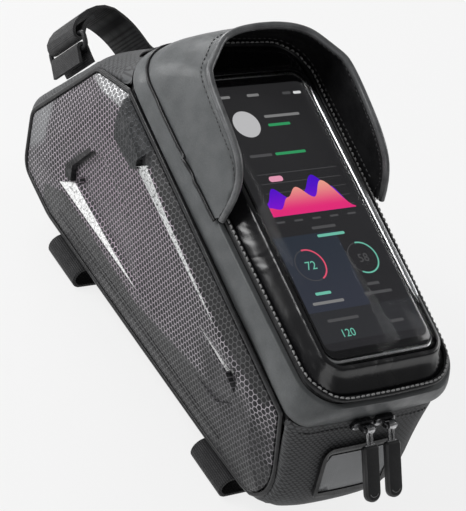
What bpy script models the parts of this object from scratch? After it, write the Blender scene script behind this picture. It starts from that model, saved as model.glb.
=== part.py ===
"""Top tube phone bag with a hinged phone lid, built in metres with +Z up and +Y towards the handlebar."""
import math

import bmesh
import bpy
from mathutils import Matrix, Vector

MM = 0.001
GAP = 0.3
TRIM_SIDES = 6

# Lid plane
LID_TILT = math.radians(16.0)
LID_ORIGIN_Y = -107.0
LID_ORIGIN_Z = 79.3
ZIP_LEVEL = -21.0
SEAM_GAP = 0.45

# Lid outline at the zip
LID_HALF_FRONT = 50.4
LID_HALF_REAR = 50.0
LID_FRONT = 188.0
LID_REAR = -20.3
LID_FRONT_RADIUS = 26.0
LID_REAR_RADIUS = 12.0
LID_FRONT_BOW = 3.0
LID_REAR_BOW = 0.8
LID_WALL = 2.6

# Window binding outline
RIM_HALF_FRONT = 47.9
RIM_HALF_REAR = 44.6
RIM_FRONT = 181.5
RIM_REAR = -18.2
RIM_FRONT_RADIUS = 21.0
RIM_REAR_RADIUS = 22.0
RIM_FRONT_BOW = 2.2
RIM_REAR_BOW = 0.8
RIM_TUBE = 1.75
RIM_INSET = 3.0
RIM_LEVEL = -7.9

# Phone
PHONE_WIDTH = 67.0
PHONE_LENGTH = 157.0
PHONE_THICK = 7.8
PHONE_RADIUS = 8.5
PHONE_END = -0.6
BEZEL_SIDE = 2.6
BEZEL_END = 6.0

# Side profile of the shells and the gusset
BASE_Z = 0.0
SHELL_X = 50.5
SHELL_RISE = 6.0
PIPING = 1.5
REAR_TOP_Y = -111.4
REAR_LOW_Y = -134.0
REAR_RADIUS = 18.0
TOE_Y = 88.0
TOE_RADIUS = 30.0
CHIN_Y = 119.5
CHIN_Z = 9.5
CHIN_RADIUS = 12.0
NOSE_Y = 127.8
NOSE_Z = 39.5
NOSE_RADIUS = 9.0
BROW_Y = 88.6
BROW_Z = 95.6
BROW_RADIUS = 7.0
EAR_Y = 60.5
EAR_RADIUS = 4.0
FRONT_BULGE = 12.0
REAR_BULGE = 11.0
BASE_BULGE = 2.4
GUSSET_WALL = 2.4
SHELL_CLEARANCE = 0.65
FLAT_SHARE = 0.18

# Lower strap loops
WEB_THICK = 1.8
WEB_WIDTH = 27.0
LOOP_HALF = 54.0
LOOP_DROP = 13.6
LOOP_FRONT_Y = 62.0
LOOP_REAR_Y = -86.5
LOOP_SEAT = 0.3

# Front strap
FRONT_TILT = math.radians(33.5)
STRAP_FOOT_Y = 124.6
STRAP_FOOT_Z = 61.9
STRAP_SINK = 2.4

# Zip sliders and pulls
SLIDER_LEFT_X = -7.0
SLIDER_RIGHT_X = 6.0
SLIDER_WIDTH = 11.0
TAB_WIDTH = 8.8
TAB_LENGTH = 26.0
TAB_THICK = 3.6
PULL_ANGLE = math.radians(38.0)

# Seat: the flat of the base between the lower strap loops, past which the base rises a little
SEAT_MARGIN = 2.0
SEAT_RISE = 0.03
SEAT_RISE_MOST = 0.8
SEAT_BLEND = 12.0

# Hinge of the lid, in front of the zip's outline
HINGE_AHEAD = 1.4

# Taper: the bag is narrower at its base than at the zip, and its rear end is drawn in
WALL_TOP_LEVEL = -10.1
BASE_TAPER = 14.0
BASE_TAPER_POWER = 1.8
STERN_TAPER = 5.5
STERN_START_Y = -55.0
STERN_END_Y = -115.0
TAPER_RUN = 0.947

for stale in list(bpy.data.objects):
    bpy.data.objects.remove(stale)

bag = bpy.data.collections.new("top_tube_phone_bag")
bpy.context.scene.collection.children.link(bag)
tools = bpy.data.collections.new("cutters")
bpy.context.scene.collection.children.link(tools)


def material(name, colour, roughness, metallic=0.0, alpha=1.0):
    """Makes a Principled material."""
    made = bpy.data.materials.new(name)
    made.use_nodes = True
    shader = made.node_tree.nodes["Principled BSDF"]
    shader.inputs["Base Color"].default_value = (*colour, 1.0)
    shader.inputs["Roughness"].default_value = roughness
    shader.inputs["Metallic"].default_value = metallic
    shader.inputs["Alpha"].default_value = alpha
    made.diffuse_color = (*colour, alpha)
    return made


def lid_to_bag(x, y, z):
    """Turns a place in the lid's frame into the bag's frame."""
    c, s = math.cos(LID_TILT), math.sin(LID_TILT)
    return (x, LID_ORIGIN_Y + y * c - z * s, LID_ORIGIN_Z + y * s + z * c)


def bag_to_lid(x, y, z):
    """Turns a place in the bag's frame into the lid's frame."""
    c, s = math.cos(LID_TILT), math.sin(LID_TILT)
    dy, dz = y - LID_ORIGIN_Y, z - LID_ORIGIN_Z
    return (x, dy * c + dz * s, -dy * s + dz * c)


def front_to_bag(x, out, along):
    """Turns a place on the front slope into the bag's frame: out from the slope and up along it."""
    c, s = math.cos(FRONT_TILT), math.sin(FRONT_TILT)
    away = out - STRAP_SINK
    return (x, STRAP_FOOT_Y + away * c - along * s, STRAP_FOOT_Z + away * s + along * c)


def finish_mesh(name, build, look, collection=None):
    """Turns a bmesh in millimetres into a named object in metres."""
    bmesh.ops.remove_doubles(build, verts=build.verts, dist=0.00005)
    bmesh.ops.recalc_face_normals(build, faces=build.faces)
    bmesh.ops.scale(build, vec=(MM, MM, MM), verts=build.verts)
    mesh = bpy.data.meshes.new(name)
    build.to_mesh(mesh)
    build.free()
    obj = bpy.data.objects.new(name, mesh)
    (collection or bag).objects.link(obj)
    if look is not None:
        mesh.materials.append(look)
    if collection is tools:
        obj.hide_render = True
        obj.display_type = "WIRE"
    return obj


def bounding(build, row_a, row_b, wrap):
    """Faces between two equal rows of vertices."""
    count = len(row_a)
    for i in range(count if wrap else count - 1):
        j = (i + 1) % count
        build.faces.new((row_a[i], row_a[j], row_b[j], row_b[i]))


def turns(sides):
    """Angles of the corners of a round section."""
    return [2 * math.pi * k / sides for k in range(sides)]


def ring_solid(name, sections, look):
    """Closed ring through closed loops of equal length, first to last and back to the first."""
    build = bmesh.new()
    rows = [[build.verts.new(p) for p in section] for section in sections]
    for k, row in enumerate(rows):
        bounding(build, row, rows[(k + 1) % len(rows)], True)
    return finish_mesh(name, build, look)


def stack_solid(name, sections, look, collection=None):
    """Solid through closed loops of equal length, capped at both ends."""
    build = bmesh.new()
    rows = [[build.verts.new(p) for p in section] for section in sections]
    for k in range(len(rows) - 1):
        bounding(build, rows[k], rows[k + 1], True)
    caps = [build.faces.new(list(reversed(rows[0]))), build.faces.new(rows[-1])]
    bmesh.ops.triangulate(build, faces=caps)
    return finish_mesh(name, build, look, collection)


def sheet_solid(name, outer, inner, look):
    """Solid between two grids of the same rows and columns."""
    build = bmesh.new()
    top = [[build.verts.new(p) for p in row] for row in outer]
    low = [[build.verts.new(p) for p in row] for row in inner]
    for k in range(len(top) - 1):
        bounding(build, top[k], top[k + 1], False)
        bounding(build, low[k + 1], low[k], False)
        build.faces.new((top[k][0], top[k + 1][0], low[k + 1][0], low[k][0]))
        build.faces.new((top[k + 1][-1], top[k][-1], low[k][-1], low[k + 1][-1]))
    bounding(build, low[0], top[0], False)
    bounding(build, top[-1], low[-1], False)
    return finish_mesh(name, build, look)


def cut(obj, cutter, operation="DIFFERENCE"):
    """Applies an exact Boolean of one object with another."""
    mod = obj.modifiers.new("cut", "BOOLEAN")
    mod.operation = operation
    mod.solver = "EXACT"
    mod.object = cutter
    bpy.context.view_layer.update()
    graph = bpy.context.evaluated_depsgraph_get()
    made = bpy.data.meshes.new_from_object(obj.evaluated_get(graph))
    old = obj.data
    obj.modifiers.clear()
    obj.data = made
    bpy.data.meshes.remove(old)
    return obj


def offset_corners(corners, inset):
    """Moves each side of a closed counter-clockwise polygon inwards."""
    moved = []
    count = len(corners)
    for i, (u, v, radius) in enumerate(corners):
        p = Vector((u, v))
        a = (p - Vector(corners[i - 1][:2])).normalized()
        b = (Vector(corners[(i + 1) % count][:2]) - p).normalized()
        na, nb = Vector((-a.y, a.x)), Vector((-b.y, b.x))
        half = (na + nb).normalized()
        step = inset / max(half.dot(na), 0.2)
        q = p + half * step
        moved.append((q.x, q.y, max(radius - inset if a.cross(b) > 0 else radius + inset, 0.4)))
    return moved


def rounded(corners, segments=6, closed=True):
    """Points of a polygon whose corners (u, v, radius) are rounded by arcs."""
    points = []
    count = len(corners)
    for i, (u, v, radius) in enumerate(corners):
        p = Vector((u, v))
        if not closed and i in (0, count - 1):
            points.append(p)
            continue
        a = Vector(corners[i - 1][:2]) - p
        b = Vector(corners[(i + 1) % count][:2]) - p
        la, lb = a.length, b.length
        a.normalize()
        b.normalize()
        angle = math.acos(max(-1.0, min(1.0, a.dot(b))))
        reach = min(radius / math.tan(angle / 2), la * 0.49, lb * 0.49)
        start, end = p + a * reach, p + b * reach
        if angle > math.radians(178.5):
            for k in range(segments + 1):
                points.append(start.lerp(end, k / segments))
            continue
        centre = p + (a + b).normalized() * (reach / math.cos(angle / 2))
        first, last = start - centre, end - centre
        sweep = first.angle_signed(last)
        for k in range(segments + 1):
            turn = Matrix.Rotation(-sweep * k / segments, 2)
            points.append(centre + turn @ first)
    return points


def with_runs(corners, segments, runs, closed=True):
    """Rounded outline with extra points on the straight run after each corner, as many as runs says."""
    points = rounded(corners, segments, closed)
    sizes = [segments + 1] * len(corners)
    if not closed:
        sizes[0] = sizes[-1] = 1
    filled = []
    place = 0
    for size, extra in zip(sizes, runs):
        filled += points[place:place + size]
        place += size
        if place == len(points) and not closed:
            break
        q = points[place % len(points)]
        last = filled[-1].copy()
        filled += [last.lerp(q, (k + 1) / (extra + 1)) for k in range(extra)]
    return filled


def end_bowed(half_front, half_rear, front, rear, radius_front, radius_rear, bow_front, bow_rear):
    """Corners of the lid's outlines, counter-clockwise seen from above."""
    return [
        (-half_rear, rear + bow_rear, radius_rear),
        (0, rear - bow_rear * 0.2, 90.0),
        (half_rear, rear + bow_rear, radius_rear),
        (half_front, front - bow_front, radius_front),
        (0, front + bow_front * 0.35, 90.0),
        (-half_front, front - bow_front, radius_front),
    ]


ZIP_CORNERS = end_bowed(LID_HALF_FRONT, LID_HALF_REAR, LID_FRONT, LID_REAR, LID_FRONT_RADIUS,
                        LID_REAR_RADIUS, LID_FRONT_BOW, LID_REAR_BOW)
RIM_CORNERS = end_bowed(RIM_HALF_FRONT, RIM_HALF_REAR, RIM_FRONT, RIM_REAR, RIM_FRONT_RADIUS,
                        RIM_REAR_RADIUS, RIM_FRONT_BOW, RIM_REAR_BOW)
PHONE_CORNERS = end_bowed(PHONE_WIDTH / 2, PHONE_WIDTH / 2, PHONE_END + PHONE_LENGTH, PHONE_END,
                          PHONE_RADIUS, PHONE_RADIUS, 0.0, 0.0)


def lid_loop(corners, inset, level, segments=6):
    """Closed loop at one level of the lid, in the bag's frame."""
    return [lid_to_bag(p.x, p.y, level) for p in rounded(offset_corners(corners, inset), segments)]


def blend_loop(share, inset, level):
    """Loop between the zip outline and the window binding's outline."""
    mixed = [tuple(a + (b - a) * share for a, b in zip(one, two))
             for one, two in zip(ZIP_CORNERS, RIM_CORNERS)]
    return lid_loop(mixed, inset, level)


def lid_edge_y(x, front, inset=0.0):
    """Place along the lid where its zip outline crosses a given x."""
    points = rounded(offset_corners(ZIP_CORNERS, inset), 24)
    best = None
    for i, p in enumerate(points):
        q = points[(i + 1) % len(points)]
        if (p.x - x) * (q.x - x) > 0 or abs(p.x - q.x) < 1e-9:
            continue
        y = p.y + (q.y - p.y) * (x - p.x) / (q.x - p.x)
        if best is None or (y > best if front else y < best):
            best = y
    return best


def profile(share, inset=0.0):
    """Closed side profile (y, z, radius): share 0 in the middle of the bag, 1 at the shells' edge."""
    top_z = lid_to_bag(0, bag_to_lid(0, REAR_TOP_Y, 58.0)[1], ZIP_LEVEL - SEAM_GAP - PIPING)
    slope = math.tan(LID_TILT)
    ear_z = top_z[2] + (EAR_Y - top_z[1]) * slope
    edge = [
        (top_z[1], top_z[2], 2.5),
        (REAR_LOW_Y, BASE_Z + BASE_BULGE, REAR_RADIUS),
        (TOE_Y, BASE_Z + BASE_BULGE, TOE_RADIUS),
        (CHIN_Y, CHIN_Z, CHIN_RADIUS),
        (NOSE_Y, NOSE_Z, NOSE_RADIUS),
        (BROW_Y, BROW_Z, BROW_RADIUS),
        (EAR_Y, ear_z, EAR_RADIUS),
    ]
    return offset_corners(edge, inset) if inset else edge


cloth = material("gusset_fabric", (0.045, 0.046, 0.048), 0.7)
shell_look = material("shell_moulding", (0.035, 0.035, 0.038), 0.5)
grey = material("lid_vinyl", (0.10, 0.105, 0.11), 0.5)
trim = material("piping_trim", (0.012, 0.012, 0.013), 0.45)
gloss = material("window_surround", (0.01, 0.01, 0.011), 0.15)
film_look = material("clear_film", (0.8, 0.82, 0.85), 0.05, 0.0, 0.2)
silver = material("phone_frame", (0.6, 0.61, 0.62), 0.3, 1.0)
glass_look = material("phone_glass", (0.02, 0.02, 0.025), 0.08)
webbing = material("strap_webbing", (0.02, 0.02, 0.021), 0.8)
plastic = material("ring_plastic", (0.016, 0.016, 0.017), 0.4)
metal = material("zip_metal", (0.05, 0.05, 0.055), 0.25, 1.0)
rubber = material("pull_rubber", (0.014, 0.014, 0.015), 0.5)
tape_look = material("zip_tape", (0.012, 0.012, 0.013), 0.8)
foam = material("pocket_lining", (0.03, 0.03, 0.031), 0.85)
badge_look = material("badge_plate", (0.35, 0.36, 0.37), 0.3, 0.6)

# Side shells


def facet_plane(start, end, at_edge, inward, rise):
    """Plane along a profile edge: x is SHELL_X plus at_edge there and plus rise at the distance inward."""
    a, b = Vector(start), Vector(end)
    along = (b - a).normalized()
    into = Vector((-along.y, along.x))
    p0 = Vector((SHELL_X + at_edge, a.x, a.y))
    p1 = Vector((SHELL_X + at_edge, b.x, b.y))
    q = a + into * inward
    p2 = Vector((SHELL_X + rise, q.x, q.y))
    normal = (p1 - p0).cross(p2 - p0).normalized()
    return p0, (normal if normal.x > 0 else -normal)


def shell_body(name, collection=None):
    """Right-hand moulded shell as a prism of the side profile cut by its facet planes."""
    corners = profile(1.0, PIPING + SHELL_CLEARANCE)
    loop = rounded(corners, 6)
    sections = [[(x, p.x, p.y) for p in loop] for x in (SHELL_X - 2.2, SHELL_X + 12)]
    obj = stack_solid(name, sections, shell_look, collection)
    build = bmesh.new()
    build.from_mesh(obj.data)
    bmesh.ops.scale(build, vec=(1000, 1000, 1000), verts=build.verts)
    ring = [(u, v) for u, v, _ in corners]
    rear_top, rear_low, toe, chin, nose, brow, ear = ring
    planes = [
        facet_plane(rear_top, rear_low, 0.6, 13.0, SHELL_RISE),
        facet_plane(rear_low, toe, 0.4, 17.0, SHELL_RISE - 0.6),
        facet_plane(rear_low, toe, 4.2, 24.0, SHELL_RISE),
        facet_plane(toe, chin, 0.4, 24.0, SHELL_RISE),
        facet_plane(chin, nose, 0.2, 27.0, SHELL_RISE),
        facet_plane(nose, brow, 0.2, 19.0, SHELL_RISE),
        facet_plane(brow, ear, 0.0, 4.6, 3.6),
        facet_plane(brow, ear, 3.0, 24.0, SHELL_RISE + 0.2),
        facet_plane(ear, rear_top, 0.6, 8.6, SHELL_RISE),
        facet_plane((BROW_Y + 6, 105.0), (0.0, 105.0), 1.2, 21.5, SHELL_RISE - 0.2),
        (Vector((SHELL_X + SHELL_RISE, 0, 50)), Vector((1, 0, 0))),
    ]
    for point, normal in planes:
        cutting = bmesh.ops.bisect_plane(build, geom=build.verts[:] + build.edges[:] + build.faces[:],
                                         plane_co=point, plane_no=normal, clear_outer=True, dist=0.0005)
        edges = [e for e in cutting["geom_cut"] if isinstance(e, bmesh.types.BMEdge)]
        if edges:
            bmesh.ops.contextual_create(build, geom=edges)
    bmesh.ops.triangulate(build, faces=build.faces[:])
    old = obj.data
    bpy.data.objects.remove(obj)
    bpy.data.meshes.remove(old)
    return finish_mesh(name, build, shell_look, collection)


def scoop(name, footprint, depths):
    """Cutter over a footprint (y, z) whose floor lies at a depth under the shell's flat at each corner."""
    floor = [(SHELL_X + SHELL_RISE - d, y, z) for (y, z), d in zip(footprint, depths)]
    roof = [(SHELL_X + SHELL_RISE + 6, y, z) for y, z in footprint]
    build = bmesh.new()
    low = [build.verts.new(p) for p in floor]
    top = [build.verts.new(p) for p in roof]
    bounding(build, low, top, True)
    build.faces.new(list(reversed(low)))
    build.faces.new(top)
    bmesh.ops.triangulate(build, faces=build.faces[:])
    return finish_mesh(name, build, None, tools)


GILL_DEPTH = 3.4
right_shell = shell_body("side_shell_right")
cutters = [
    scoop("gill_one_lip", [(-1.4, 30.8), (79.2, 33.6), (67.7, 40.4)], [0.02, 0.3, GILL_DEPTH]),
    scoop("gill_one_floor",
          [(-1.4, 30.8), (67.7, 40.3), (69.4, 46.3), (61.9, 61.8), (55.6, 66.0), (22.0, 55.0)],
          [0.02, GILL_DEPTH, GILL_DEPTH - 0.2, GILL_DEPTH * 0.75, GILL_DEPTH * 0.5, 0.02]),
    scoop("gill_one_throat",
          [(67.7, 38.6), (75.4, 36.6), (77.6, 44.2), (66.2, 63.4), (54.6, 67.4), (56.6, 64.2),
           (61.9, 61.6), (69.2, 46.3)],
          [GILL_DEPTH, GILL_DEPTH * 1.1, GILL_DEPTH * 1.1, GILL_DEPTH, 1.2, 1.2, GILL_DEPTH * 0.8,
           GILL_DEPTH]),
    scoop("gill_two_throat", [(23.0, 87.5), (31.8, 81.4), (32.8, 84.0), (28.6, 95.6)],
          [GILL_DEPTH, GILL_DEPTH, GILL_DEPTH, GILL_DEPTH * 0.9]),
    scoop("gill_two_strip", [(-66.9, 62.9), (31.4, 81.5), (23.9, 87.7)], [0.02, 0.9, GILL_DEPTH]),
    scoop("gill_three_throat", [(-73.7, 46.6), (-84.3, 42.6), (-81.6, 52.4), (-76.4, 52.6)],
          [GILL_DEPTH, GILL_DEPTH * 0.8, GILL_DEPTH * 0.8, GILL_DEPTH]),
    scoop("gill_three_strip", [(-40.0, 51.8), (-76.2, 46.4), (-77.0, 50.0)], [0.02, 0.6, GILL_DEPTH * 0.8]),
    scoop("gill_three_tip", [(-55.1, 28.2), (-76.0, 28.8), (-86.1, 37.4), (-79.0, 38.4)],
          [0.02, 1.4, 1.2, 0.1]),
]
for cutter in cutters:
    cut(right_shell, cutter)
hollow_loop = rounded(profile(1.0, 14.0), 6)
hollow_ends = (SHELL_X - 6, SHELL_X + 0.2)
hollow = stack_solid("shell_hollow", [[(x, p.x, p.y) for p in hollow_loop] for x in hollow_ends], None, tools)
cut(right_shell, hollow)


def mirrored(obj, name):
    """Copy of an object mirrored across the bag's middle."""
    build = bmesh.new()
    build.from_mesh(obj.data)
    bmesh.ops.scale(build, vec=(-1000, 1000, 1000), verts=build.verts)
    return finish_mesh(name, build, obj.data.materials[0])


mirrored(right_shell, "side_shell_left")

# Piping round each shell
PROFILE_RUNS = (4, 0, 1, 2, 5, 2, 9)
for side, label in ((1, "right"), (-1, "left")):
    rings = []
    for turn in turns(TRIM_SIDES):
        loop = with_runs(profile(1.0, PIPING * 0.1 - PIPING * 0.95 * math.cos(turn)), 4, PROFILE_RUNS)
        level = side * (SHELL_X - 0.2 + PIPING * math.sin(turn))
        rings.append([(level, p.x, p.y) for p in loop])
    ring_solid("piping_" + label, rings, trim)

# Gusset: front slope, base and rear end


GUSSET_RUNS = (1, 5, 2, 1, 0, 4, 0)


def gusset_line(x, inset):
    """Open profile of the gusset at one x, from the hinge round the base to the rear zip."""
    reach = SHELL_X - PIPING - 0.9
    u = min(abs(x) / reach, 1.0)
    share = 1.0 - (1.0 - max(0.0, (u - FLAT_SHARE) / (1.0 - FLAT_SHARE)) ** 2.4) ** (1 / 2.2)
    front_end = lid_to_bag(x, lid_edge_y(min(abs(x), LID_HALF_REAR - 1.2), True) - 0.2, ZIP_LEVEL - SEAM_GAP)
    rear_end = lid_to_bag(x, lid_edge_y(min(abs(x), LID_HALF_REAR - 1.2), False) + 0.2, ZIP_LEVEL - SEAM_GAP)
    edge = profile(1.0)
    _, rear_low, toe, chin, nose, brow, _ = edge

    def at(corner, dy, dz, grow):
        return (corner[0] + dy * (1 - share), corner[1] + dz * (1 - share), corner[2] + grow * (1 - share))

    corners = [
        (front_end[1], front_end[2], 1.0),
        at(brow, FRONT_BULGE * 0.9, 1.0, 14.0),
        at(nose, FRONT_BULGE, 2.0, 5.0),
        at(chin, FRONT_BULGE * 0.6, -BASE_BULGE, 4.0),
        at(toe, 0.0, -BASE_BULGE, 0.0),
        at(rear_low, -REAR_BULGE, -BASE_BULGE, 4.0),
        (rear_end[1], rear_end[2], 1.0),
    ]
    line = with_runs(corners, 4, GUSSET_RUNS, closed=False)
    if inset:
        moved = []
        for i, p in enumerate(line):
            a = line[max(i - 1, 0)]
            b = line[min(i + 1, len(line) - 1)]
            d = (b - a).normalized()
            moved.append(p + Vector((d.y, -d.x)) * inset)
        line = moved
    return line


half = SHELL_X - PIPING - 0.9
stations = [-1.0, -0.985, -0.955, -0.905, -0.82, -0.68, -0.48, -FLAT_SHARE, 0.0]
stations = stations + [-s for s in reversed(stations[:-1])]
outer = []
inner = []
for s in stations:
    x = s * half
    outer.append([(x, p.x, p.y) for p in gusset_line(x, 0.0)])
    inner.append([(x, p.x, p.y) for p in gusset_line(x, GUSSET_WALL)])
sheet_solid("gusset", outer, inner, cloth)


# Lid
wall_steps = [(0.0, 0.0, ZIP_LEVEL + 0.4), (0.08, -0.3, -17.4), (0.4, -0.3, -13.6),
              (0.9, 0.0, WALL_TOP_LEVEL)]
wall_out = [blend_loop(*step) for step in wall_steps]
wall_in = [blend_loop(share, inset + LID_WALL, level) for share, inset, level in reversed(wall_steps)]
ring_solid("lid_wall", wall_out + wall_in, grey)

rings = []
for turn in turns(TRIM_SIDES):
    inset, level = RIM_INSET - RIM_TUBE * math.cos(turn), RIM_LEVEL + RIM_TUBE * math.sin(turn)
    rings.append(lid_loop(RIM_CORNERS, inset, level))
ring_solid("window_binding", rings, trim)

PLATEAU_CORNERS = end_bowed(PHONE_WIDTH / 2 + 1.9, PHONE_WIDTH / 2 + 1.9, PHONE_END + PHONE_LENGTH + 2.2,
                            PHONE_END - 4.4, 11.0, 11.0, 0.0, 0.0)
surround = [
    lid_loop(RIM_CORNERS, 5.0, -9.2),
    lid_loop(RIM_CORNERS, 5.2, -7.4),
    lid_loop(PLATEAU_CORNERS, -1.6, -3.2),
    lid_loop(PLATEAU_CORNERS, 0.0, 0.2),
    lid_loop(PLATEAU_CORNERS, 0.9, 1.1),
    lid_loop(PLATEAU_CORNERS, 2.6, 1.1),
    lid_loop(PLATEAU_CORNERS, 2.6, 0.4),
    lid_loop(PLATEAU_CORNERS, 1.3, 0.2),
    lid_loop(PLATEAU_CORNERS, 1.0, -0.4),
    lid_loop(PLATEAU_CORNERS, -0.6, -3.8),
    lid_loop(RIM_CORNERS, 6.2, -8.2),
    lid_loop(RIM_CORNERS, 6.2, -9.2),
]
ring_solid("window_surround", surround, gloss)
stack_solid("window_film", [lid_loop(PLATEAU_CORNERS, 3.0, level) for level in (0.45, 0.9)], film_look)
stack_solid("pocket_back", [blend_loop(0.92, LID_WALL + 0.6, level) for level in (-11.8, -9.7)], foam)
stack_solid("phone_pad", [lid_loop(PHONE_CORNERS, 4.0, level) for level in (-9.3, -8.1)], foam)
stack_solid("phone_frame", [
    lid_loop(PHONE_CORNERS, 1.6, -PHONE_THICK),
    lid_loop(PHONE_CORNERS, 0.0, -PHONE_THICK + 1.8),
    lid_loop(PHONE_CORNERS, 0.0, -2.0),
    lid_loop(PHONE_CORNERS, 0.7, -0.8),
    lid_loop(PHONE_CORNERS, 2.0, -0.55),
    lid_loop(PHONE_CORNERS, 2.3, -1.2),
], silver)
stack_solid("phone_glass", [lid_loop(PHONE_CORNERS, 2.6, level) for level in (-0.85, 0.0)], glass_look)

# Zip tapes
for label, low, high in (("lid", -20.9, -17.2), ("body", -25.2, -21.5)):
    ring_solid("zip_tape_" + label, [
        lid_loop(ZIP_CORNERS, 3.2, low), lid_loop(ZIP_CORNERS, 3.2, high),
        lid_loop(ZIP_CORNERS, 5.0, high), lid_loop(ZIP_CORNERS, 5.0, low),
    ], tape_look)

# Visor
VISOR_REAR = 85.5
VISOR_HEIGHT = 34.0
VISOR_LEAN = 17.0
VISOR_CORNER = 0.68
VISOR_CORNER_PULL = 8.0
VISOR_THICK = 1.6
VISOR_FOOT = -9.7
VISOR_STEPS = 4
VISOR_PITCH = 5.5


def visor_base(inset):
    """Half of the visor's base line, rear end to front middle, with the share of its length."""
    points = rounded(offset_corners(RIM_CORNERS, inset), 10)
    half_line = [p for p in points if p.x >= -1e-6 and p.y > VISOR_REAR]
    half_line.sort(key=lambda p: (p.y - 60) - max(0.0, p.x) * 0.9)
    line = [Vector((half_line[0].x, VISOR_REAR))] + half_line
    dense = []
    for a, b in zip(line, line[1:]):
        count = max(1, round((b - a).length / VISOR_PITCH))
        dense += [a.lerp(b, k / count) for k in range(count)]
    dense.append(line[-1])
    lengths = [0.0]
    for a, b in zip(dense, dense[1:]):
        lengths.append(lengths[-1] + (b - a).length)
    found = []
    for k, (p, d) in enumerate(zip(dense, lengths)):
        run = (dense[min(k + 1, len(dense) - 1)] - dense[max(k - 1, 0)]).normalized()
        found.append((p, d / lengths[-1], Vector((run.y, -run.x, 0))))
    found[-1] = (found[-1][0], 1.0, Vector((0, 1, 0)))
    return found


def visor_tip(p, u):
    """Free edge of the visor above a base point."""
    rise = 1.6 + (VISOR_HEIGHT - 1.6) * (0.68 * (1 - math.exp(-u / 0.06)) + 0.32 * u)
    corner = math.exp(-((u - VISOR_CORNER) / 0.14) ** 2)
    pull = 1.5 + VISOR_LEAN * u ** 0.7 + VISOR_CORNER_PULL * corner
    squeeze = 1 - 0.115 * min(rise / 24.0, 1.0) - 0.075 * corner
    return Vector((p.x * squeeze, p.y - pull, VISOR_FOOT + 1.7 + rise))


def visor_rows(inset):
    """Grid of the visor from one rear end round the front to the other."""
    half_rows = []
    for p, u, away in visor_base(-1.1):
        foot = Vector((p.x, p.y, VISOR_FOOT))
        tip = visor_tip(p, u)
        row = []
        for k in range(VISOR_STEPS + 1):
            t = k / VISOR_STEPS
            q = foot + (tip - foot) * t
            lean = t ** 1.6 - t
            q.x += (tip.x - foot.x) * lean
            q.y += (tip.y - foot.y) * lean
            row.append(q - away * inset)
        half_rows.append(row)
    left = [[Vector((-q.x, q.y, q.z)) for q in row] for row in half_rows]
    rows = left + list(reversed(half_rows[:-1]))
    for q in rows[len(left) - 1]:
        q.x = 0.0
    return rows


rows_out = visor_rows(0.0)
rows_in = visor_rows(VISOR_THICK)
sheet_solid("visor", [[lid_to_bag(*q) for q in row] for row in rows_out],
            [[lid_to_bag(*q) for q in row] for row in rows_in], grey)


def tube(name, path, radius, look):
    """Round bar along an open path."""
    build = bmesh.new()
    rows = []
    for i, p in enumerate(path):
        a = path[max(i - 1, 0)]
        b = path[min(i + 1, len(path) - 1)]
        d = (b - a).normalized()
        side = d.cross(Vector((0, 0, 1))).normalized()
        over = side.cross(d).normalized()
        rows.append([build.verts.new(p + (side * math.cos(turn) + over * math.sin(turn)) * radius)
                     for turn in turns(TRIM_SIDES)])
    for a, b in zip(rows, rows[1:]):
        bounding(build, a, b, True)
    build.faces.new(rows[0])
    build.faces.new(list(reversed(rows[-1])))
    return finish_mesh(name, build, look)


HEM_RADIUS = 1.2
edge_line = [(a[-1] + b[-1]) / 2 for a, b in zip(rows_out, rows_in)]
hem = []
for k, middle in enumerate(edge_line):
    run = (edge_line[min(k + 1, len(edge_line) - 1)] - edge_line[max(k - 1, 0)]).normalized()
    through = (rows_out[k][-1] - rows_in[k][-1]).normalized()
    away = run.cross(through).normalized()
    below = (rows_out[k][0] + rows_in[k][0]) / 2
    if away.dot(middle - below) < 0:
        away = -away
    hem.append(Vector(lid_to_bag(*(middle + away * (HEM_RADIUS + GAP + 0.25)))))
tube("visor_hem", hem, HEM_RADIUS, trim)

# Webbing, ring and strap on the front slope


def ribbon(name, path, thick, along_low, along_high, place, look):
    """Strip of webbing along a path (x, out) on the front slope."""
    outer_rows = []
    inner_rows = []
    for along in (along_low, along_high):
        outer_row = []
        inner_row = []
        for i, p in enumerate(path):
            a = Vector(path[max(i - 1, 0)])
            b = Vector(path[min(i + 1, len(path) - 1)])
            d = (b - a).normalized()
            normal = Vector((-d.y, d.x)) * thick / 2
            outer_row.append(place(p[0] + normal.x, p[1] + normal.y, along))
            inner_row.append(place(p[0] - normal.x, p[1] - normal.y, along))
        outer_rows.append(outer_row)
        inner_rows.append(inner_row)
    return sheet_solid(name, outer_rows, inner_rows, look)


def arc(centre, radius, start, end, count):
    """Points on an arc, angles in degrees."""
    return [(centre[0] + radius * math.cos(math.radians(start + (end - start) * k / count)),
             centre[1] + radius * math.sin(math.radians(start + (end - start) * k / count)))
            for k in range(count + 1)]


BAR = 1.5
RING_X = -42.6
RING_LOW = 8.8
RING_HIGH = 17.0
WRAP = BAR + 0.4 + WEB_THICK / 2
anchor_path = [(-38.2, 1.1), (-39.2, 4.4)]
anchor_path += arc((RING_X, RING_LOW), WRAP, 0, 180, 8)
anchor_path += [(-45.6, 4.6), (-45.9, 1.2)]
ribbon("front_anchor", anchor_path, WEB_THICK, 0.5, 0.5 + WEB_WIDTH, front_to_bag, webbing)
ring_corners = [(-2.8, RING_LOW, 2.6), (WEB_WIDTH + 3.8, RING_LOW, 2.6), (WEB_WIDTH + 3.8, RING_HIGH, 2.6),
                (-2.8, RING_HIGH, 2.6)]
rings = []
for turn in turns(TRIM_SIDES):
    loop = rounded(offset_corners(ring_corners, BAR * math.cos(turn)), 4)
    rings.append([front_to_bag(RING_X + BAR * math.sin(turn), p.y, p.x) for p in loop])
ring_solid("front_ring", rings, plastic)
strap_path = [(-31.6, 25.4), (-35.2, 23.4), (-37.9, 20.8)] + arc((RING_X, RING_HIGH), WRAP, 0, -180, 8)
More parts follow.
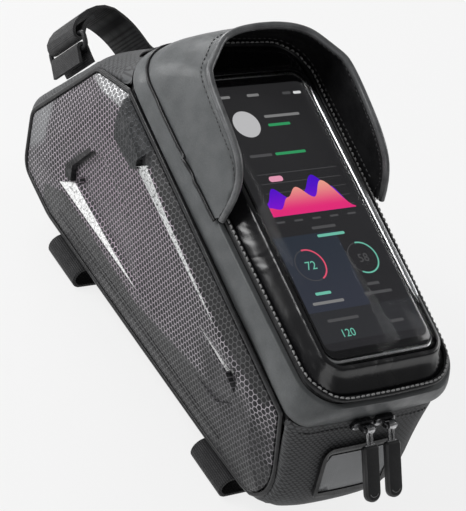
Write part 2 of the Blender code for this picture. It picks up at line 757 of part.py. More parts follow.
strap_path += [(-45.2, 19.4), (-43.0, 22.6), (-39.6, 25.6), (-34.5, 28.2), (-28.6, 29.8), (-23.6, 29.9),
               (-18.6, 28.2), (-14.4, 24.9), (-10.4, 20.6), (-6.9, 15.4), (-4.2, 9.8), (-1.8, 5.9), (2.4, 3.9),
               (8.0, 3.5), (22.0, 3.3)]
ribbon("front_strap", strap_path, WEB_THICK, 0.5, 0.5 + WEB_WIDTH, front_to_bag, webbing)

# Lower strap loops
for label, middle in (("front", LOOP_FRONT_Y), ("rear", LOOP_REAR_Y)):
    top, low = BASE_Z - LOOP_SEAT, BASE_Z - LOOP_DROP
    r = (top - low) / 2 - 0.05
    corners = [(-LOOP_HALF, low, r), (LOOP_HALF, low, r), (LOOP_HALF, top, r), (-LOOP_HALF, top, r)]
    y0, y1 = middle - WEB_WIDTH / 2, middle + WEB_WIDTH / 2
    outside = rounded(corners)
    inside = rounded(offset_corners(corners, WEB_THICK))
    ring_solid("strap_loop_" + label, [
        [(p.x, y0, p.y) for p in outside], [(p.x, y1, p.y) for p in outside],
        [(p.x, y1, p.y) for p in inside], [(p.x, y0, p.y) for p in inside],
    ], webbing)

# Rear badge


def rear_point(x, z, out):
    """Place on the rear of the gusset at a height, moved outwards."""
    line = gusset_line(x, 0.0)
    line = line[len(line) // 2:]
    for a, b in zip(line, line[1:]):
        if (a.y - z) * (b.y - z) <= 0 and abs(a.y - b.y) > 1e-6:
            p = a.lerp(b, (z - a.y) / (b.y - a.y))
            d = (b - a).normalized()
            return (x, p.x - d.y * out, p.y + d.x * out)
    return (x, line[-1].x, line[-1].y)


BADGE_HALF = 28.0
BADGE_LOW = 19.0
BADGE_HIGH = 42.0
BADGE_TOP_HALF = BADGE_HALF - 1.0
badge_corners = [
    (-BADGE_HALF, BADGE_LOW, 3.0), (0, BADGE_LOW, 50), (BADGE_HALF, BADGE_LOW, 3.0),
    (BADGE_TOP_HALF, BADGE_HIGH, 7.0), (0, BADGE_HIGH, 50), (-BADGE_TOP_HALF, BADGE_HIGH, 7.0),
]


def badge_loop(inset, out):
    """Loop on the rear of the gusset, inset from the badge's outline."""
    loop = rounded(offset_corners(badge_corners, inset), 7)
    return [rear_point(p.x, p.y, out) for p in loop]


border_section = [(0.0, 0.8), (0.0, 2.3), (2.8, 2.3), (2.8, 0.8)]
ring_solid("badge_border", [badge_loop(inset, out) for inset, out in border_section], trim)
PLATE_INSET = 3.2
PLATE_RADIUS = 4.0
PLATE_COLUMNS = 12
PLATE_ROWS = 4
plate_out = []
plate_in = []
plate_half = BADGE_HALF - PLATE_INSET - 0.4
low = BADGE_LOW + PLATE_INSET
for k in range(PLATE_COLUMNS + 1):
    x = plate_half * (2 * k / PLATE_COLUMNS - 1)
    past = max(0.0, abs(x) - (plate_half - PLATE_RADIUS))
    high = BADGE_HIGH - PLATE_INSET - PLATE_RADIUS + math.sqrt(max(PLATE_RADIUS ** 2 - past ** 2, 0.0))
    heights = [low + (high - low) * j / PLATE_ROWS for j in range(PLATE_ROWS + 1)]
    plate_out.append([rear_point(x, z, 1.6) for z in heights])
    plate_in.append([rear_point(x, z, 0.8) for z in heights])
sheet_solid("badge_plate", plate_out, plate_in, badge_look)

# Zip sliders and pulls


def box(name, low, high, look, place, collection=None):
    """Box between two corners, its vertices moved by a function."""
    base = ((low[0], low[1]), (high[0], low[1]), (high[0], high[1]), (low[0], high[1]))
    loops = [[place(x, y, z) for x, y in base] for z in (low[2], high[2])]
    return stack_solid(name, loops, look, collection)


AXIS_Y = -27.8
AXIS_Z = -17.4
PIN = 0.8
PIN_HALF = 2.8
BAR_SIDES = 12
EAR_WIDTH = 1.0
EYE_RADIUS = 2.0
EYE_HALF = 1.9
LEG_WIDTH = 1.1
LEG_END = -7.6
TONGUE_HALF = 2.6
TONGUE_END = -10.1
TAB_TOP = -7.4
SLOT_GAP = 0.3


def bar_x(name, half_length, centre, radius, look, place, collection=None):
    """Round bar along X, its centre given as (x, y, z)."""
    x, y, z = centre
    loops = [[place(x + end, y + radius * math.cos(turn), z + radius * math.sin(turn))
              for turn in turns(BAR_SIDES)] for end in (-half_length, half_length)]
    return stack_solid(name, loops, look, collection)


for label, middle in (("left", SLIDER_LEFT_X), ("right", SLIDER_RIGHT_X)):
    w = SLIDER_WIDTH / 2
    slider_shape = [(-21.4, -22.8, 0.5), (-21.0, -18.0, 0.8), (-23.8, -17.2, 1.0), (-25.2, -18.8, 1.0),
                    (-25.2, -21.8, 1.0), (-23.8, -23.8, 1.0)]
    loop = rounded(slider_shape, 3)
    slider = stack_solid("slider_" + label, [
        [lid_to_bag(middle + x, p.x + push * (p.x + 23.2), p.y + push * (p.y + 20.4)) for p in loop]
        for x, push in ((-w, -0.3), (-w + 1.6, 0.0), (w - 1.6, 0.0), (w, -0.3))], metal)
    for x in (-3.3, 2.3):
        ear = stack_solid("ear", [[lid_to_bag(middle + x + dx, y, z) for y, z in (
            (-24.4, -20.2), (AXIS_Y, -18.8), (-29.1, AXIS_Z), (-28.0, -16.1), (-24.4, -17.8))]
            for dx in (0, EAR_WIDTH)], metal)
        cut(slider, ear, "UNION")
        bpy.data.objects.remove(ear)
    pin = bar_x("pin", PIN_HALF, (middle, AXIS_Y, AXIS_Z), PIN, metal, lid_to_bag)
    cut(slider, pin, "UNION")
    bpy.data.objects.remove(pin)

    hub = Vector(lid_to_bag(middle, AXIS_Y, AXIS_Z))
    turn = Matrix.Rotation(-PULL_ANGLE, 3, "X")

    def pull_place(x, y, z, hub=hub, turn=turn):
        """Turns a place in the hanging pull's frame into the bag's frame."""
        return tuple(hub + turn @ Vector((x, y, z)))

    link = bar_x("pull_link_" + label, EYE_HALF, (0, 0, 0), EYE_RADIUS, metal, pull_place)
    for x in (-1.7, 0.6):
        leg_low, leg_high = (x, -LEG_WIDTH / 2, LEG_END), (x + LEG_WIDTH, LEG_WIDTH / 2, -1.45)
        leg = box("leg", leg_low, leg_high, metal, pull_place)
        cut(link, leg, "UNION")
        bpy.data.objects.remove(leg)
    tongue = box("tongue", (-TONGUE_HALF, -0.65, TONGUE_END), (TONGUE_HALF, 0.65, -6.9), metal, pull_place)
    cut(link, tongue, "UNION")
    bpy.data.objects.remove(tongue)
    cut(link, bar_x("link_bore_" + label, 2 * EYE_HALF, (0, 0, 0), PIN + 0.35, None, pull_place, tools))

    half_w, half_t = TAB_WIDTH / 2, TAB_THICK / 2
    tab_end = TAB_TOP - TAB_LENGTH
    tab_corners = [(-half_w, tab_end, 4.2), (half_w, tab_end, 4.2), (half_w, TAB_TOP, 1.4),
                   (-half_w, TAB_TOP, 1.4)]
    tab = stack_solid("pull_tab_" + label, [
        [pull_place(p.x, y, p.y) for p in rounded(offset_corners(tab_corners, inset), 5)]
        for y, inset in ((-half_t, 0.9), (-half_t + 0.9, 0.0), (half_t - 0.9, 0.0), (half_t, 0.9))], rubber)
    slot_half = TONGUE_HALF + SLOT_GAP
    slot_low, slot_high = (-slot_half, -0.9, TONGUE_END - 0.4), (slot_half, 0.9, TAB_TOP + 1.9)
    cut(tab, box("tab_slot_" + label, slot_low, slot_high, None, pull_place, tools))

# Taper: the shells, the gusset and what is sewn to them lean in towards the base and the rear end
ZIP_REAR = lid_to_bag(0.0, LID_REAR, ZIP_LEVEL)
SEAT_FRONT_Y = LOOP_FRONT_Y - WEB_WIDTH / 2 - SEAT_MARGIN
SEAT_REAR_Y = LOOP_REAR_Y + WEB_WIDTH / 2 + SEAT_MARGIN


def zip_height(y):
    """Height of the zip line at a place along the bag."""
    return ZIP_REAR[2] + (y - ZIP_REAR[1]) * math.tan(LID_TILT)


def stern_share(y):
    """How far along the drawn-in rear end a place is, from 0 to 1."""
    t = min(max((STERN_START_Y - y) / (STERN_START_Y - STERN_END_Y), 0.0), 1.0)
    return t * t * (3.0 - 2.0 * t)


def drawn(p, pull):
    """Moves a place in by a pull: across towards the middle, forwards and down."""
    return Vector((p.x * (1.0 - pull / SHELL_X), p.y + pull * TAPER_RUN, p.z - pull))


def body_taper(p):
    """Taper of the shells and the gusset: full at the base, the stern's alone at the zip."""
    height = min(max(p.z / zip_height(p.y), 0.0), 1.0)
    return drawn(p, BASE_TAPER * (1.0 - height ** BASE_TAPER_POWER) + STERN_TAPER * stern_share(p.y) * height)


def gusset_taper(p):
    """Taper of the gusset, its base rising a little past both ends of the seat."""
    past = max(p.y - SEAT_FRONT_Y, SEAT_REAR_Y - p.y, 0.0)
    low = max(0.0, 1.0 - p.z / SEAT_BLEND)
    return body_taper(p) + Vector((0.0, 0.0, min(past * SEAT_RISE, SEAT_RISE_MOST) * low))


def lid_taper(p):
    """Taper of the lid's wall: the stern's at the zip, none at the window binding."""
    level = bag_to_lid(*p)[2]
    weight = 1.0 - min(max((level - ZIP_LEVEL) / (WALL_TOP_LEVEL - ZIP_LEVEL), 0.0), 1.0)
    return drawn(p, STERN_TAPER * stern_share(p.y) * weight)


def carried(side, pull):
    """Rigid move of a piece by the pull of what it is fixed to."""
    return lambda p: Vector((p.x + side * pull, p.y + pull * TAPER_RUN, p.z - pull))


def loop_taper(p):
    """Draws a lower strap loop in with the base, by its ends."""
    end = BASE_TAPER if p.x > 0 else -BASE_TAPER
    share = min(abs(p.x) / (LOOP_HALF - LOOP_DROP), 1.0)
    return Vector((p.x - end * share, p.y + BASE_TAPER * TAPER_RUN, p.z - BASE_TAPER))


def reshape(obj, move, cuts):
    """Cuts an object's flats so that they can bend, moves its vertices and lifts it to the base."""
    build = bmesh.new()
    build.from_mesh(obj.data)
    bmesh.ops.scale(build, vec=(1 / MM, 1 / MM, 1 / MM), verts=build.verts)
    for point, normal in cuts:
        bmesh.ops.bisect_plane(build, geom=build.verts[:] + build.edges[:] + build.faces[:],
                               plane_co=point, plane_no=normal, dist=0.0005)
    bmesh.ops.triangulate(build, faces=build.faces[:])
    for v in build.verts:
        v.co = (move(v.co) if move else v.co) + Vector((0, 0, BASE_TAPER))
    bmesh.ops.scale(build, vec=(MM, MM, MM), verts=build.verts)
    build.to_mesh(obj.data)
    build.free()


SHELL_CUTS = [(Vector((0, 0, z)), Vector((0, 0, 1))) for z in (18, 36, 56, 76)]
SHELL_CUTS += [(Vector((0, y, 0)), Vector((0, 1, 0))) for y in (-100, -84, -68)]
SEAT_CUTS = [(Vector((0, y, 0)), Vector((0, 1, 0))) for y in (SEAT_FRONT_Y, SEAT_REAR_Y)]
FRONT_PULL = BASE_TAPER * (1.0 - (STRAP_FOOT_Z / zip_height(STRAP_FOOT_Y)) ** BASE_TAPER_POWER)
MOVES = {
    "side_shell": (body_taper, SHELL_CUTS),
    "shell_hollow": (body_taper, ()),
    "gill": (body_taper, ()),
    "piping": (body_taper, ()),
    "gusset": (gusset_taper, SEAT_CUTS),
    "badge": (body_taper, ()),
    "lid_wall": (lid_taper, ()),
    "zip_tape": (lid_taper, ()),
    "pocket_back": (lid_taper, ()),
    "strap_loop_": (loop_taper, ()),
    "slider": (carried(0, STERN_TAPER), ()),
    "pull": (carried(0, STERN_TAPER), ()),
    "link_bore": (carried(0, STERN_TAPER), ()),
    "tab_slot": (carried(0, STERN_TAPER), ()),
    "front_": (carried(1, FRONT_PULL), ()),
}
SMOOTH_ANGLE = math.radians(32.0)
for obj in list(bag.objects) + list(tools.objects):
    found = [rule for start, rule in MOVES.items() if obj.name.startswith(start)]
    move, cuts = found[0] if found else (None, ())
    reshape(obj, move, cuts)
    obj.data.shade_smooth()
    obj.data.set_sharp_from_angle(angle=SMOOTH_ANGLE)

# Joint axes: each moving piece hangs from an empty on its joint's axis


def axis_empty(name, place, parent=None):
    """Empty at a place in the finished bag's frame, in millimetres."""
    empty = bpy.data.objects.new(name, None)
    empty.empty_display_size = 5 * MM
    bag.objects.link(empty)
    empty.parent = parent
    empty.matrix_world = Matrix.Translation(Vector(place) * MM)
    bpy.context.view_layer.update()
    return empty


def hang(empty, starts):
    """Parents the pieces whose names start so to an empty, and leaves them where they are."""
    for obj in bag.objects:
        if obj.type == "MESH" and obj.name.startswith(starts):
            obj.parent = empty
            obj.matrix_parent_inverse = empty.matrix_world.inverted()


lift = Vector((0, 0, BASE_TAPER))
hinge = axis_empty("lid_hinge", Vector(lid_to_bag(0, LID_FRONT + HINGE_AHEAD, ZIP_LEVEL)) + lift)
hang(hinge, ("lid_wall", "window", "pocket", "phone", "zip_tape_lid", "visor"))
for label, middle in (("left", SLIDER_LEFT_X), ("right", SLIDER_RIGHT_X)):
    place = carried(0, STERN_TAPER)(Vector(lid_to_bag(middle, AXIS_Y, AXIS_Z))) + lift
    slide = axis_empty("slider_slide_" + label, place)
    hang(slide, ("slider_" + label,))
    hang(axis_empty("pull_hinge_" + label, place, slide), ("pull_link_" + label, "pull_tab_" + label))
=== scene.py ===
"""Top tube phone bag: the finishes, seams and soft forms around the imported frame."""

import logging
import math
from collections.abc import Callable, Sequence
from dataclasses import dataclass
from enum import Enum

import bmesh
import bpy
from mathutils import Matrix, Vector, noise
from mathutils.bvhtree import BVHTree


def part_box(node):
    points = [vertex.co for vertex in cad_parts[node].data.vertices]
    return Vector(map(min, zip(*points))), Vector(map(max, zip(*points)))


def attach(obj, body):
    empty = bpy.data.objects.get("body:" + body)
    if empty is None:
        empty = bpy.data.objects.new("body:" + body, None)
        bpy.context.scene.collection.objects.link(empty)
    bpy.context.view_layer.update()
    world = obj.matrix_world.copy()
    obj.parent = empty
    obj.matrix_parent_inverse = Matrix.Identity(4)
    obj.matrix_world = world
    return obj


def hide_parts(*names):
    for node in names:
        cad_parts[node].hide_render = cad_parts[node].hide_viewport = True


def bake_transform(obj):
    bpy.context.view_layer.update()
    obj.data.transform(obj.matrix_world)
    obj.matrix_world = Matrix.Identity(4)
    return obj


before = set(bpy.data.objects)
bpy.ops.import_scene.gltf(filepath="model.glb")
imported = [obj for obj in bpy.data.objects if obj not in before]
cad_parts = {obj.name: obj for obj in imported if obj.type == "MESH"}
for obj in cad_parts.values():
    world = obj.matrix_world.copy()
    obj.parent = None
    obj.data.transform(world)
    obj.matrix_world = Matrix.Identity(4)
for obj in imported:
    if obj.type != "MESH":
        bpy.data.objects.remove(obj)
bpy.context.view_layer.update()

MM = 0.001
WELD = 2e-6
Colour = tuple[float, float, float]
Axes = tuple[tuple[float, float, float], tuple[float, float, float]]
Move = Callable[[Vector, Vector], Vector]
Outline = list[tuple[float, float]]

# Angles of the refining: triangles joined to quads, faces merged as flat, edges rounded
JOIN_ANGLE = math.radians(30)
JOIN_SHAPE = math.radians(70)
FLAT_ANGLE = math.radians(1.5)
BEVEL_ANGLE = math.radians(11)

logging.basicConfig(level=logging.INFO, format="%(message)s")
log = logging.getLogger("bag")


class Effect(Enum):
    """Surface patterns, each made by one shader group."""

    GRAIN = "leather_grain"
    WEAVE = "ribbed_weave"
    HONEYCOMB = "honeycomb_net"
    CRINKLE = "soft_crinkle"
    BRUSHED = "brushed_metal"


class Shade(Enum):
    """How a screen's patch is coloured."""

    PLAIN = "plain"
    FADING = "fading"


class Net:
    """A node tree with short ways to add and join its nodes."""

    def __init__(self, tree: bpy.types.NodeTree) -> None:
        """Keeps the tree that the nodes go in."""
        self.tree = tree

    def node(self, kind: str, feeds: dict | None = None, **settings) -> bpy.types.Node:
        """Adds a node.

        Args:
            kind: Blender's name of the node's type.
            feeds: values or sockets by the name or number of the input.
            settings: properties of the node.

        Returns:
            The new node.
        """
        made = self.tree.nodes.new(kind)
        for key, value in settings.items():
            setattr(made, key, value)
        self.feed(made, feeds or {})
        return made

    def feed(self, node: bpy.types.Node, feeds: dict) -> None:
        """Links sockets to a node's inputs, or sets the inputs' own values."""
        for key, value in feeds.items():
            if isinstance(value, bpy.types.NodeSocket):
                self.tree.links.new(value, node.inputs[key])
            else:
                node.inputs[key].default_value = value

    def math(self, operation: str, *values) -> bpy.types.NodeSocket:
        """Returns the result of a math node."""
        return self.node("ShaderNodeMath", dict(enumerate(values)), operation=operation).outputs[0]

    def vector(self, operation: str, *values, result: str = "Vector") -> bpy.types.NodeSocket:
        """Returns what a vector math node gives."""
        made = self.node("ShaderNodeVectorMath", dict(enumerate(values)), operation=operation)
        return made.outputs[result]

    def dot(self, one, two) -> bpy.types.NodeSocket:
        """Returns the dot product of two vectors."""
        return self.vector("DOT_PRODUCT", one, two, result="Value")

    def ramp(self, value, low, high, start=0.0, end=1.0) -> bpy.types.NodeSocket:
        """Returns a smooth step of a value from low to high, spread from start to end."""
        feeds = {"Value": value, "From Min": low, "From Max": high, "To Min": start, "To Max": end}
        return self.node("ShaderNodeMapRange", feeds, interpolation_type="SMOOTHSTEP").outputs["Result"]

    def mix(self, factor, one, two) -> bpy.types.NodeSocket:
        """Returns a colour between two colours."""
        one, two = ((*value, 1.0) if isinstance(value, tuple) else value for value in (one, two))
        return self.node("ShaderNodeMix", {0: factor, 6: one, 7: two}, data_type="RGBA").outputs[2]

    def cloud(self, place, scale: float, detail: float, **more: float) -> bpy.types.NodeSocket:
        """Returns the value of a noise texture."""
        feeds = {"Vector": place, "Scale": scale, "Detail": detail, **more}
        return self.node("ShaderNodeTexNoise", feeds).outputs["Fac"]

    def own_place(self) -> bpy.types.NodeSocket:
        """Returns the place in the object's own space."""
        return self.node("ShaderNodeTexCoord").outputs["Object"]

    def relief(self, height, strength: float, distance: float) -> bpy.types.NodeSocket:
        """Returns the normal of a bump of a height."""
        feeds = {"Strength": strength, "Distance": distance, "Height": height}
        return self.node("ShaderNodeBump", feeds).outputs["Normal"]


Socket = bpy.types.NodeSocket
Tones = tuple[Socket, Socket]
PATTERN_INPUTS = {
    "Vector": ("NodeSocketVector", (0.0, 0.0, 0.0)),
    "Pitch": ("NodeSocketFloat", 0.001),
    "Width": ("NodeSocketFloat", 0.3),
}
WEAR_INPUTS = {"Vector": PATTERN_INPUTS["Vector"], "Amount": ("NodeSocketFloat", 0.3)}
HEXAGON = (0.5, math.sqrt(3) / 2, 0.0)


def new_group(name: str, wants: dict[str, tuple[str, object]],
              gives: Sequence[str]) -> tuple[Net, dict[str, Socket], bpy.types.Node]:
    """Starts a shader group.

    Args:
        name: the group's name.
        wants: kind and default of each input by its name.
        gives: names of the value outputs.

    Returns:
        The group's net, its input sockets by name and its output node.
    """
    tree = bpy.data.node_groups.new(name, "ShaderNodeTree")
    for label, (kind, value) in wants.items():
        socket = tree.interface.new_socket(label, in_out="INPUT", socket_type=kind)
        socket.default_value = value
    for label in gives:
        tree.interface.new_socket(label, in_out="OUTPUT", socket_type="NodeSocketFloat")
    net = Net(tree)
    start = net.node("NodeGroupInput")
    return net, {label: start.outputs[label] for label in wants}, net.node("NodeGroupOutput")


def grain(net: Net, given: dict[str, Socket], place: Socket) -> Tones:
    """Returns tone and height of the small pebbles on coated cloth and moulded rubber."""
    feeds = {"Vector": place, "Scale": 1.0}
    cells = net.node("ShaderNodeTexVoronoi", feeds, feature="SMOOTH_F1").outputs["Distance"]
    tone = net.math("ADD", net.cloud(place, 0.06, 4.0), net.math("MULTIPLY", cells, 0.35))
    return net.ramp(tone, 0.35, 0.95), net.ramp(cells, given["Width"], 0.8)


def weave(net: Net, given: dict[str, Socket], place: Socket) -> Tones:
    """Returns tone and height of the cross ribs and yarns of webbing, tape and woven cloth."""
    split = net.node("ShaderNodeSeparateXYZ", {0: place})
    across, along = split.outputs["X"], split.outputs["Y"]
    shift = net.math("MULTIPLY", net.math("MODULO", net.math("FLOOR", along), 2.0), 0.5)
    rib, yarn = (net.math("ABSOLUTE", net.math("SINE", net.math("MULTIPLY", turn, math.pi)))
                 for turn in (along, net.math("ADD", across, shift)))
    share = net.math("MULTIPLY_ADD", yarn, given["Width"], net.math("SUBTRACT", 1.0, given["Width"]))
    height = net.math("MULTIPLY", net.math("POWER", rib, 0.6), share)
    fade = net.ramp(net.cloud(given["Vector"], 260.0, 3.0), 0.25, 0.75, 0.6, 1.0)
    return net.math("MULTIPLY", height, fade), height


def honeycomb(net: Net, given: dict[str, Socket], place: Socket) -> Tones:
    """Returns tone and height of a hexagon net, 1 on the net and 0 in its cells."""
    place = net.vector("MULTIPLY", place, (1.0, 1.0, 0.0))
    minus = tuple(-length for length in HEXAGON)
    one = net.vector("WRAP", place, HEXAGON, minus)
    two = net.vector("WRAP", net.vector("SUBTRACT", place, HEXAGON), HEXAGON, minus)
    nearer = net.math("LESS_THAN", net.dot(two, two), net.dot(one, one))
    pick = net.node("ShaderNodeMix", {0: nearer, 4: one, 5: two}, data_type="VECTOR")
    corner = net.vector("ABSOLUTE", pick.outputs[1])
    flat = net.node("ShaderNodeSeparateXYZ", {0: corner}).outputs["X"]
    reach = net.math("MAXIMUM", flat, net.dot(corner, HEXAGON))
    inner = net.math("SUBTRACT", 0.5, given["Width"])
    mask = net.ramp(reach, inner, net.math("ADD", inner, 0.09))
    fade = net.ramp(net.cloud(given["Vector"], 90.0, 5.0), 0.3, 0.7, 0.72, 1.0)
    return net.math("MULTIPLY", mask, fade), mask


def crinkle(net: Net, given: dict[str, Socket], place: Socket) -> Tones:
    """Returns tone and height of the soft creases in glossy vinyl and film."""
    fold = net.cloud(place, 1.0, 2.0, Distortion=1.4)
    ridge = net.math("ABSOLUTE", net.math("MULTIPLY_ADD", fold, 2.0, -1.0))
    return fold, net.ramp(ridge, 0.0, given["Width"])


def brushed(net: Net, given: dict[str, Socket], place: Socket) -> Tones:
    """Returns tone and height of the fine lines on drawn or brushed metal."""
    lines = net.cloud(net.vector("MULTIPLY", place, (1.0, 0.04, 1.0)), 1.0, 3.0)
    sharp = net.ramp(lines, given["Width"], 0.7)
    return sharp, sharp


PATTERNS: dict[Effect, Callable[[Net, dict[str, Socket], Socket], Tones]] = {
    Effect.GRAIN: grain,
    Effect.WEAVE: weave,
    Effect.HONEYCOMB: honeycomb,
    Effect.CRINKLE: crinkle,
    Effect.BRUSHED: brushed,
}


def effect_group(effect: Effect) -> bpy.types.NodeTree:
    """Returns the effect's shader group, made once."""
    found = bpy.data.node_groups.get(effect.value)
    if found:
        return found
    net, given, end = new_group(effect.value, PATTERN_INPUTS, ("Tone", "Height"))
    feeds = {0: given["Vector"], "Scale": net.math("DIVIDE", 1.0, given["Pitch"])}
    place = net.node("ShaderNodeVectorMath", feeds, operation="SCALE").outputs["Vector"]
    tone, height = PATTERNS[effect](net, given, place)
    net.feed(end, {"Tone": tone, "Height": height})
    return net.tree


def wear_group() -> bpy.types.NodeTree:
    """Returns the group of rubbed edges with a little dust between, made once."""
    found = bpy.data.node_groups.get("edge_wear")
    if found:
        return found
    net, given, end = new_group("edge_wear", WEAR_INPUTS, ("Edge", "Dust"))
    edge = net.ramp(net.node("ShaderNodeNewGeometry").outputs["Pointiness"], 0.515, 0.6)
    rubbed = net.math("MULTIPLY", edge, net.ramp(net.cloud(given["Vector"], 420.0, 4.0), 0.35, 0.65))
    dust = net.ramp(net.cloud(given["Vector"], 35.0, 6.0), 0.45, 0.8)
    for label, value in (("Edge", rubbed), ("Dust", dust)):
        net.feed(end, {label: net.math("MULTIPLY", value, given["Amount"])})
    return net.tree


SIDE_AXES: Axes = ((0.0, 1.0, 0.0), (0.0, 0.0, 1.0))
LOOP_AXES: Axes = ((0.0, 1.0, 0.0), (1.0, 0.0, 1.0))
FRONT_AXES: Axes = ((0.0, -0.552, 0.834), (1.0, 0.834, 0.552))
LID_AXES: Axes = ((1.0, 0.0, 0.0), (0.0, 0.961, 0.276))


class Look:
    """What the finishes share: a material that is made once under the finish's name."""

    name: str

    def fill(self, net: Net, shader: bpy.types.Node) -> None:
        """Sets the inputs of the material's shader."""
        raise NotImplementedError

    def material(self) -> bpy.types.Material:
        """Returns the finish's material, made once."""
        found = bpy.data.materials.get(self.name)
        if found:
            return found
        made = bpy.data.materials.new(self.name)
        made.use_nodes = True
        self.fill(Net(made.node_tree), made.node_tree.nodes["Principled BSDF"])
        return made


@dataclass(frozen=True)
class Finish(Look):
    """One finish: a pattern between two colours, with its gloss, relief and wear."""

    name: str
    dark: Colour
    light: Colour
    roughness: tuple[float, float]
    effect: Effect = Effect.GRAIN
    pitch: float = 0.9
    width: float = 0.2
    relief: float = 0.1
    strength: float = 0.5
    metallic: float = 0.0
    crest_metallic: float | None = None
    coat: float = 0.0
    coat_roughness: float = 0.08
    sheen: float = 0.0
    specular: float = 0.25
    wear: float = 0.3
    wear_colour: Colour = (0.16, 0.16, 0.165)
    dust_roughness: float = 0.25
    axes: Axes | None = None
    uses_uv: bool = False

    def coordinates(self, net: Net) -> Socket:
        """Returns the vector that the pattern follows: the unwrapped cloth, two axes or the object's own."""
        if self.uses_uv:
            return net.node("ShaderNodeTexCoord").outputs["UV"]
        place = net.own_place()
        if self.axes is None:
            return place
        feeds = {k: net.dot(place, axis) for k, axis in enumerate(self.axes)}
        return net.node("ShaderNodeCombineXYZ", feeds).outputs[0]

    def extra_colour(self, net: Net, colour: Socket, tone: Socket) -> Socket:
        """Returns the colour with what a kind of finish adds to it."""
        return colour

    def fill(self, net: Net, shader: bpy.types.Node) -> None:
        """Joins the pattern and the wear to the shader."""
        feeds = {"Vector": self.coordinates(net), "Pitch": self.pitch * MM, "Width": self.width}
        pattern = net.node("ShaderNodeGroup", feeds, node_tree=effect_group(self.effect))
        feeds = {"Vector": net.own_place(), "Amount": self.wear}
        worn = net.node("ShaderNodeGroup", feeds, node_tree=wear_group())
        tone = pattern.outputs["Tone"]
        colour = self.extra_colour(net, net.mix(tone, self.dark, self.light), tone)
        low, high = self.roughness
        dust = net.math("MULTIPLY", worn.outputs["Dust"], self.dust_roughness)
        metal = self.metallic
        if self.crest_metallic is not None:
            metal = net.ramp(tone, 0.0, 1.0, self.metallic, self.crest_metallic)
        net.feed(shader, {
            "Base Color": net.mix(worn.outputs["Edge"], colour, self.wear_colour),
            "Roughness": net.math("ADD", net.ramp(tone, 0.0, 1.0, high, low), dust),
            "Metallic": metal,
            "Coat Weight": self.coat,
            "Coat Roughness": self.coat_roughness,
            "Sheen Weight": self.sheen,
            "Specular IOR Level": self.specular,
            "Normal": net.relief(pattern.outputs["Height"], self.strength, self.relief * MM),
        })


@dataclass(frozen=True)
class PaintedLightStrip:
    """A convex patch of a shell painted with tones of light and shade, as corners (y, z) in mm."""

    corners: tuple[tuple[float, float], ...]
    dark: Colour
    light: Colour
    speckled: bool = False
    edge: float = 0.35

    def mask(self, net: Net, place: Socket) -> Socket:
        """Returns 1 inside the strip and 0 outside, from a vector of (y, z)."""
        made = None
        pairs = list(zip(self.corners, self.corners[1:] + self.corners[:1]))
        turn = math.copysign(1.0, sum(a[0] * b[1] - b[0] * a[1] for a, b in pairs))
        for (y, z), (y2, z2) in pairs:
            length = math.hypot(y2 - y, z2 - z) * turn
            inward = (-(z2 - z) / length, (y2 - y) / length, 0.0)
            start = (y * inward[0] + z * inward[1]) * MM
            side = net.ramp(net.dot(place, inward), start, start + self.edge * MM)
            made = side if made is None else net.math("MULTIPLY", made, side)
        return made


@dataclass(frozen=True)
class ShellFinish(Finish):
    """The moulded shell's honeycomb, with painted facet light and shade, painted highlights and shadows on
    its gills, and a faint painted violet sheen.
    """

    painted_light_strips: tuple[PaintedLightStrip, ...] = ()
    # The painted violet sheen: its colour, the (y, z) place where it is strongest, how far it spreads and how
    # much of it shows.
    violet: Colour = (0.34, 0.2, 0.3)
    painted_sheen_middle: tuple[float, float, float] = (0.045, 0.06, 0.0)
    painted_sheen_reach: float = 0.11
    painted_sheen_share: float = 0.5

    def extra_colour(self, net: Net, colour: Socket, tone: Socket) -> Socket:
        """Adds the painted violet sheen and the strips of painted light and shade to the honeycomb's colour.
        """
        place = self.coordinates(net)
        # Painted violet sheen on the net, strongest at one fixed place of the panel and fading out round it.
        away = net.vector("DISTANCE", place, self.painted_sheen_middle, result="Value")
        painted_sheen_amount = net.ramp(away, self.painted_sheen_reach, 0.0, 0.0, self.painted_sheen_share)
        colour = net.mix(net.math("MULTIPLY", painted_sheen_amount, tone), colour, self.violet)
        speck = net.ramp(net.cloud(place, 700.0, 2.0), 0.38, 0.5)
        # The strips paint facet light and shade, gill highlights and gill shadows over the honeycomb.
        for strip in self.painted_light_strips:
            own = net.mix(speck if strip.speckled else tone, strip.dark, strip.light)
            colour = net.mix(strip.mask(net, place), colour, own)
        return colour


@dataclass(frozen=True)
class ScreenFinish(Look):
    """A lit patch of the phone's screen, plain or fading between two colours along the lid."""

    name: str
    colour: Colour
    upper: Colour = (0.0, 0.0, 0.0)
    shade: Shade = Shade.PLAIN
    low: float = 0.0
    high: float = 0.1
    unlit: Colour = (0.004, 0.004, 0.005)

    def fill(self, net: Net, shader: bpy.types.Node) -> None:
        """Lights the patch with its colours."""
        colour = (*self.colour, 1.0)
        if self.shade is Shade.FADING:
            share = net.ramp(net.dot(net.own_place(), LID_AXES[1]), self.low, self.high)
            colour = net.mix(share, self.colour, self.upper)
        net.feed(shader, {"Base Color": (*self.unlit, 1.0), "Roughness": 0.25, "Emission Strength": 1.0,
                          "Emission Color": colour})


@dataclass(frozen=True)
class FilmFinish(Look):
    """The window's clear film, its creases in metres."""

    name: str = "clear_window_film"
    colour: Colour = (0.02, 0.02, 0.022)
    alpha: float = 0.07
    roughness: tuple[float, float] = (0.04, 0.14)
    pitch: float = 0.03
    depth: float = 0.2 * MM

    def fill(self, net: Net, shader: bpy.types.Node) -> None:
        """Makes the film clear, with soft creases."""
        feeds = {"Vector": net.own_place(), "Pitch": self.pitch, "Width": 0.5}
        creases = net.node("ShaderNodeGroup", feeds, node_tree=effect_group(Effect.CRINKLE)).outputs
        net.feed(shader, {
            "Base Color": (*self.colour, 1.0),
            "Alpha": self.alpha,
            "Roughness": net.ramp(creases["Tone"], 0.0, 1.0, *self.roughness),
            "Normal": net.relief(creases["Height"], 0.3, self.depth),
        })
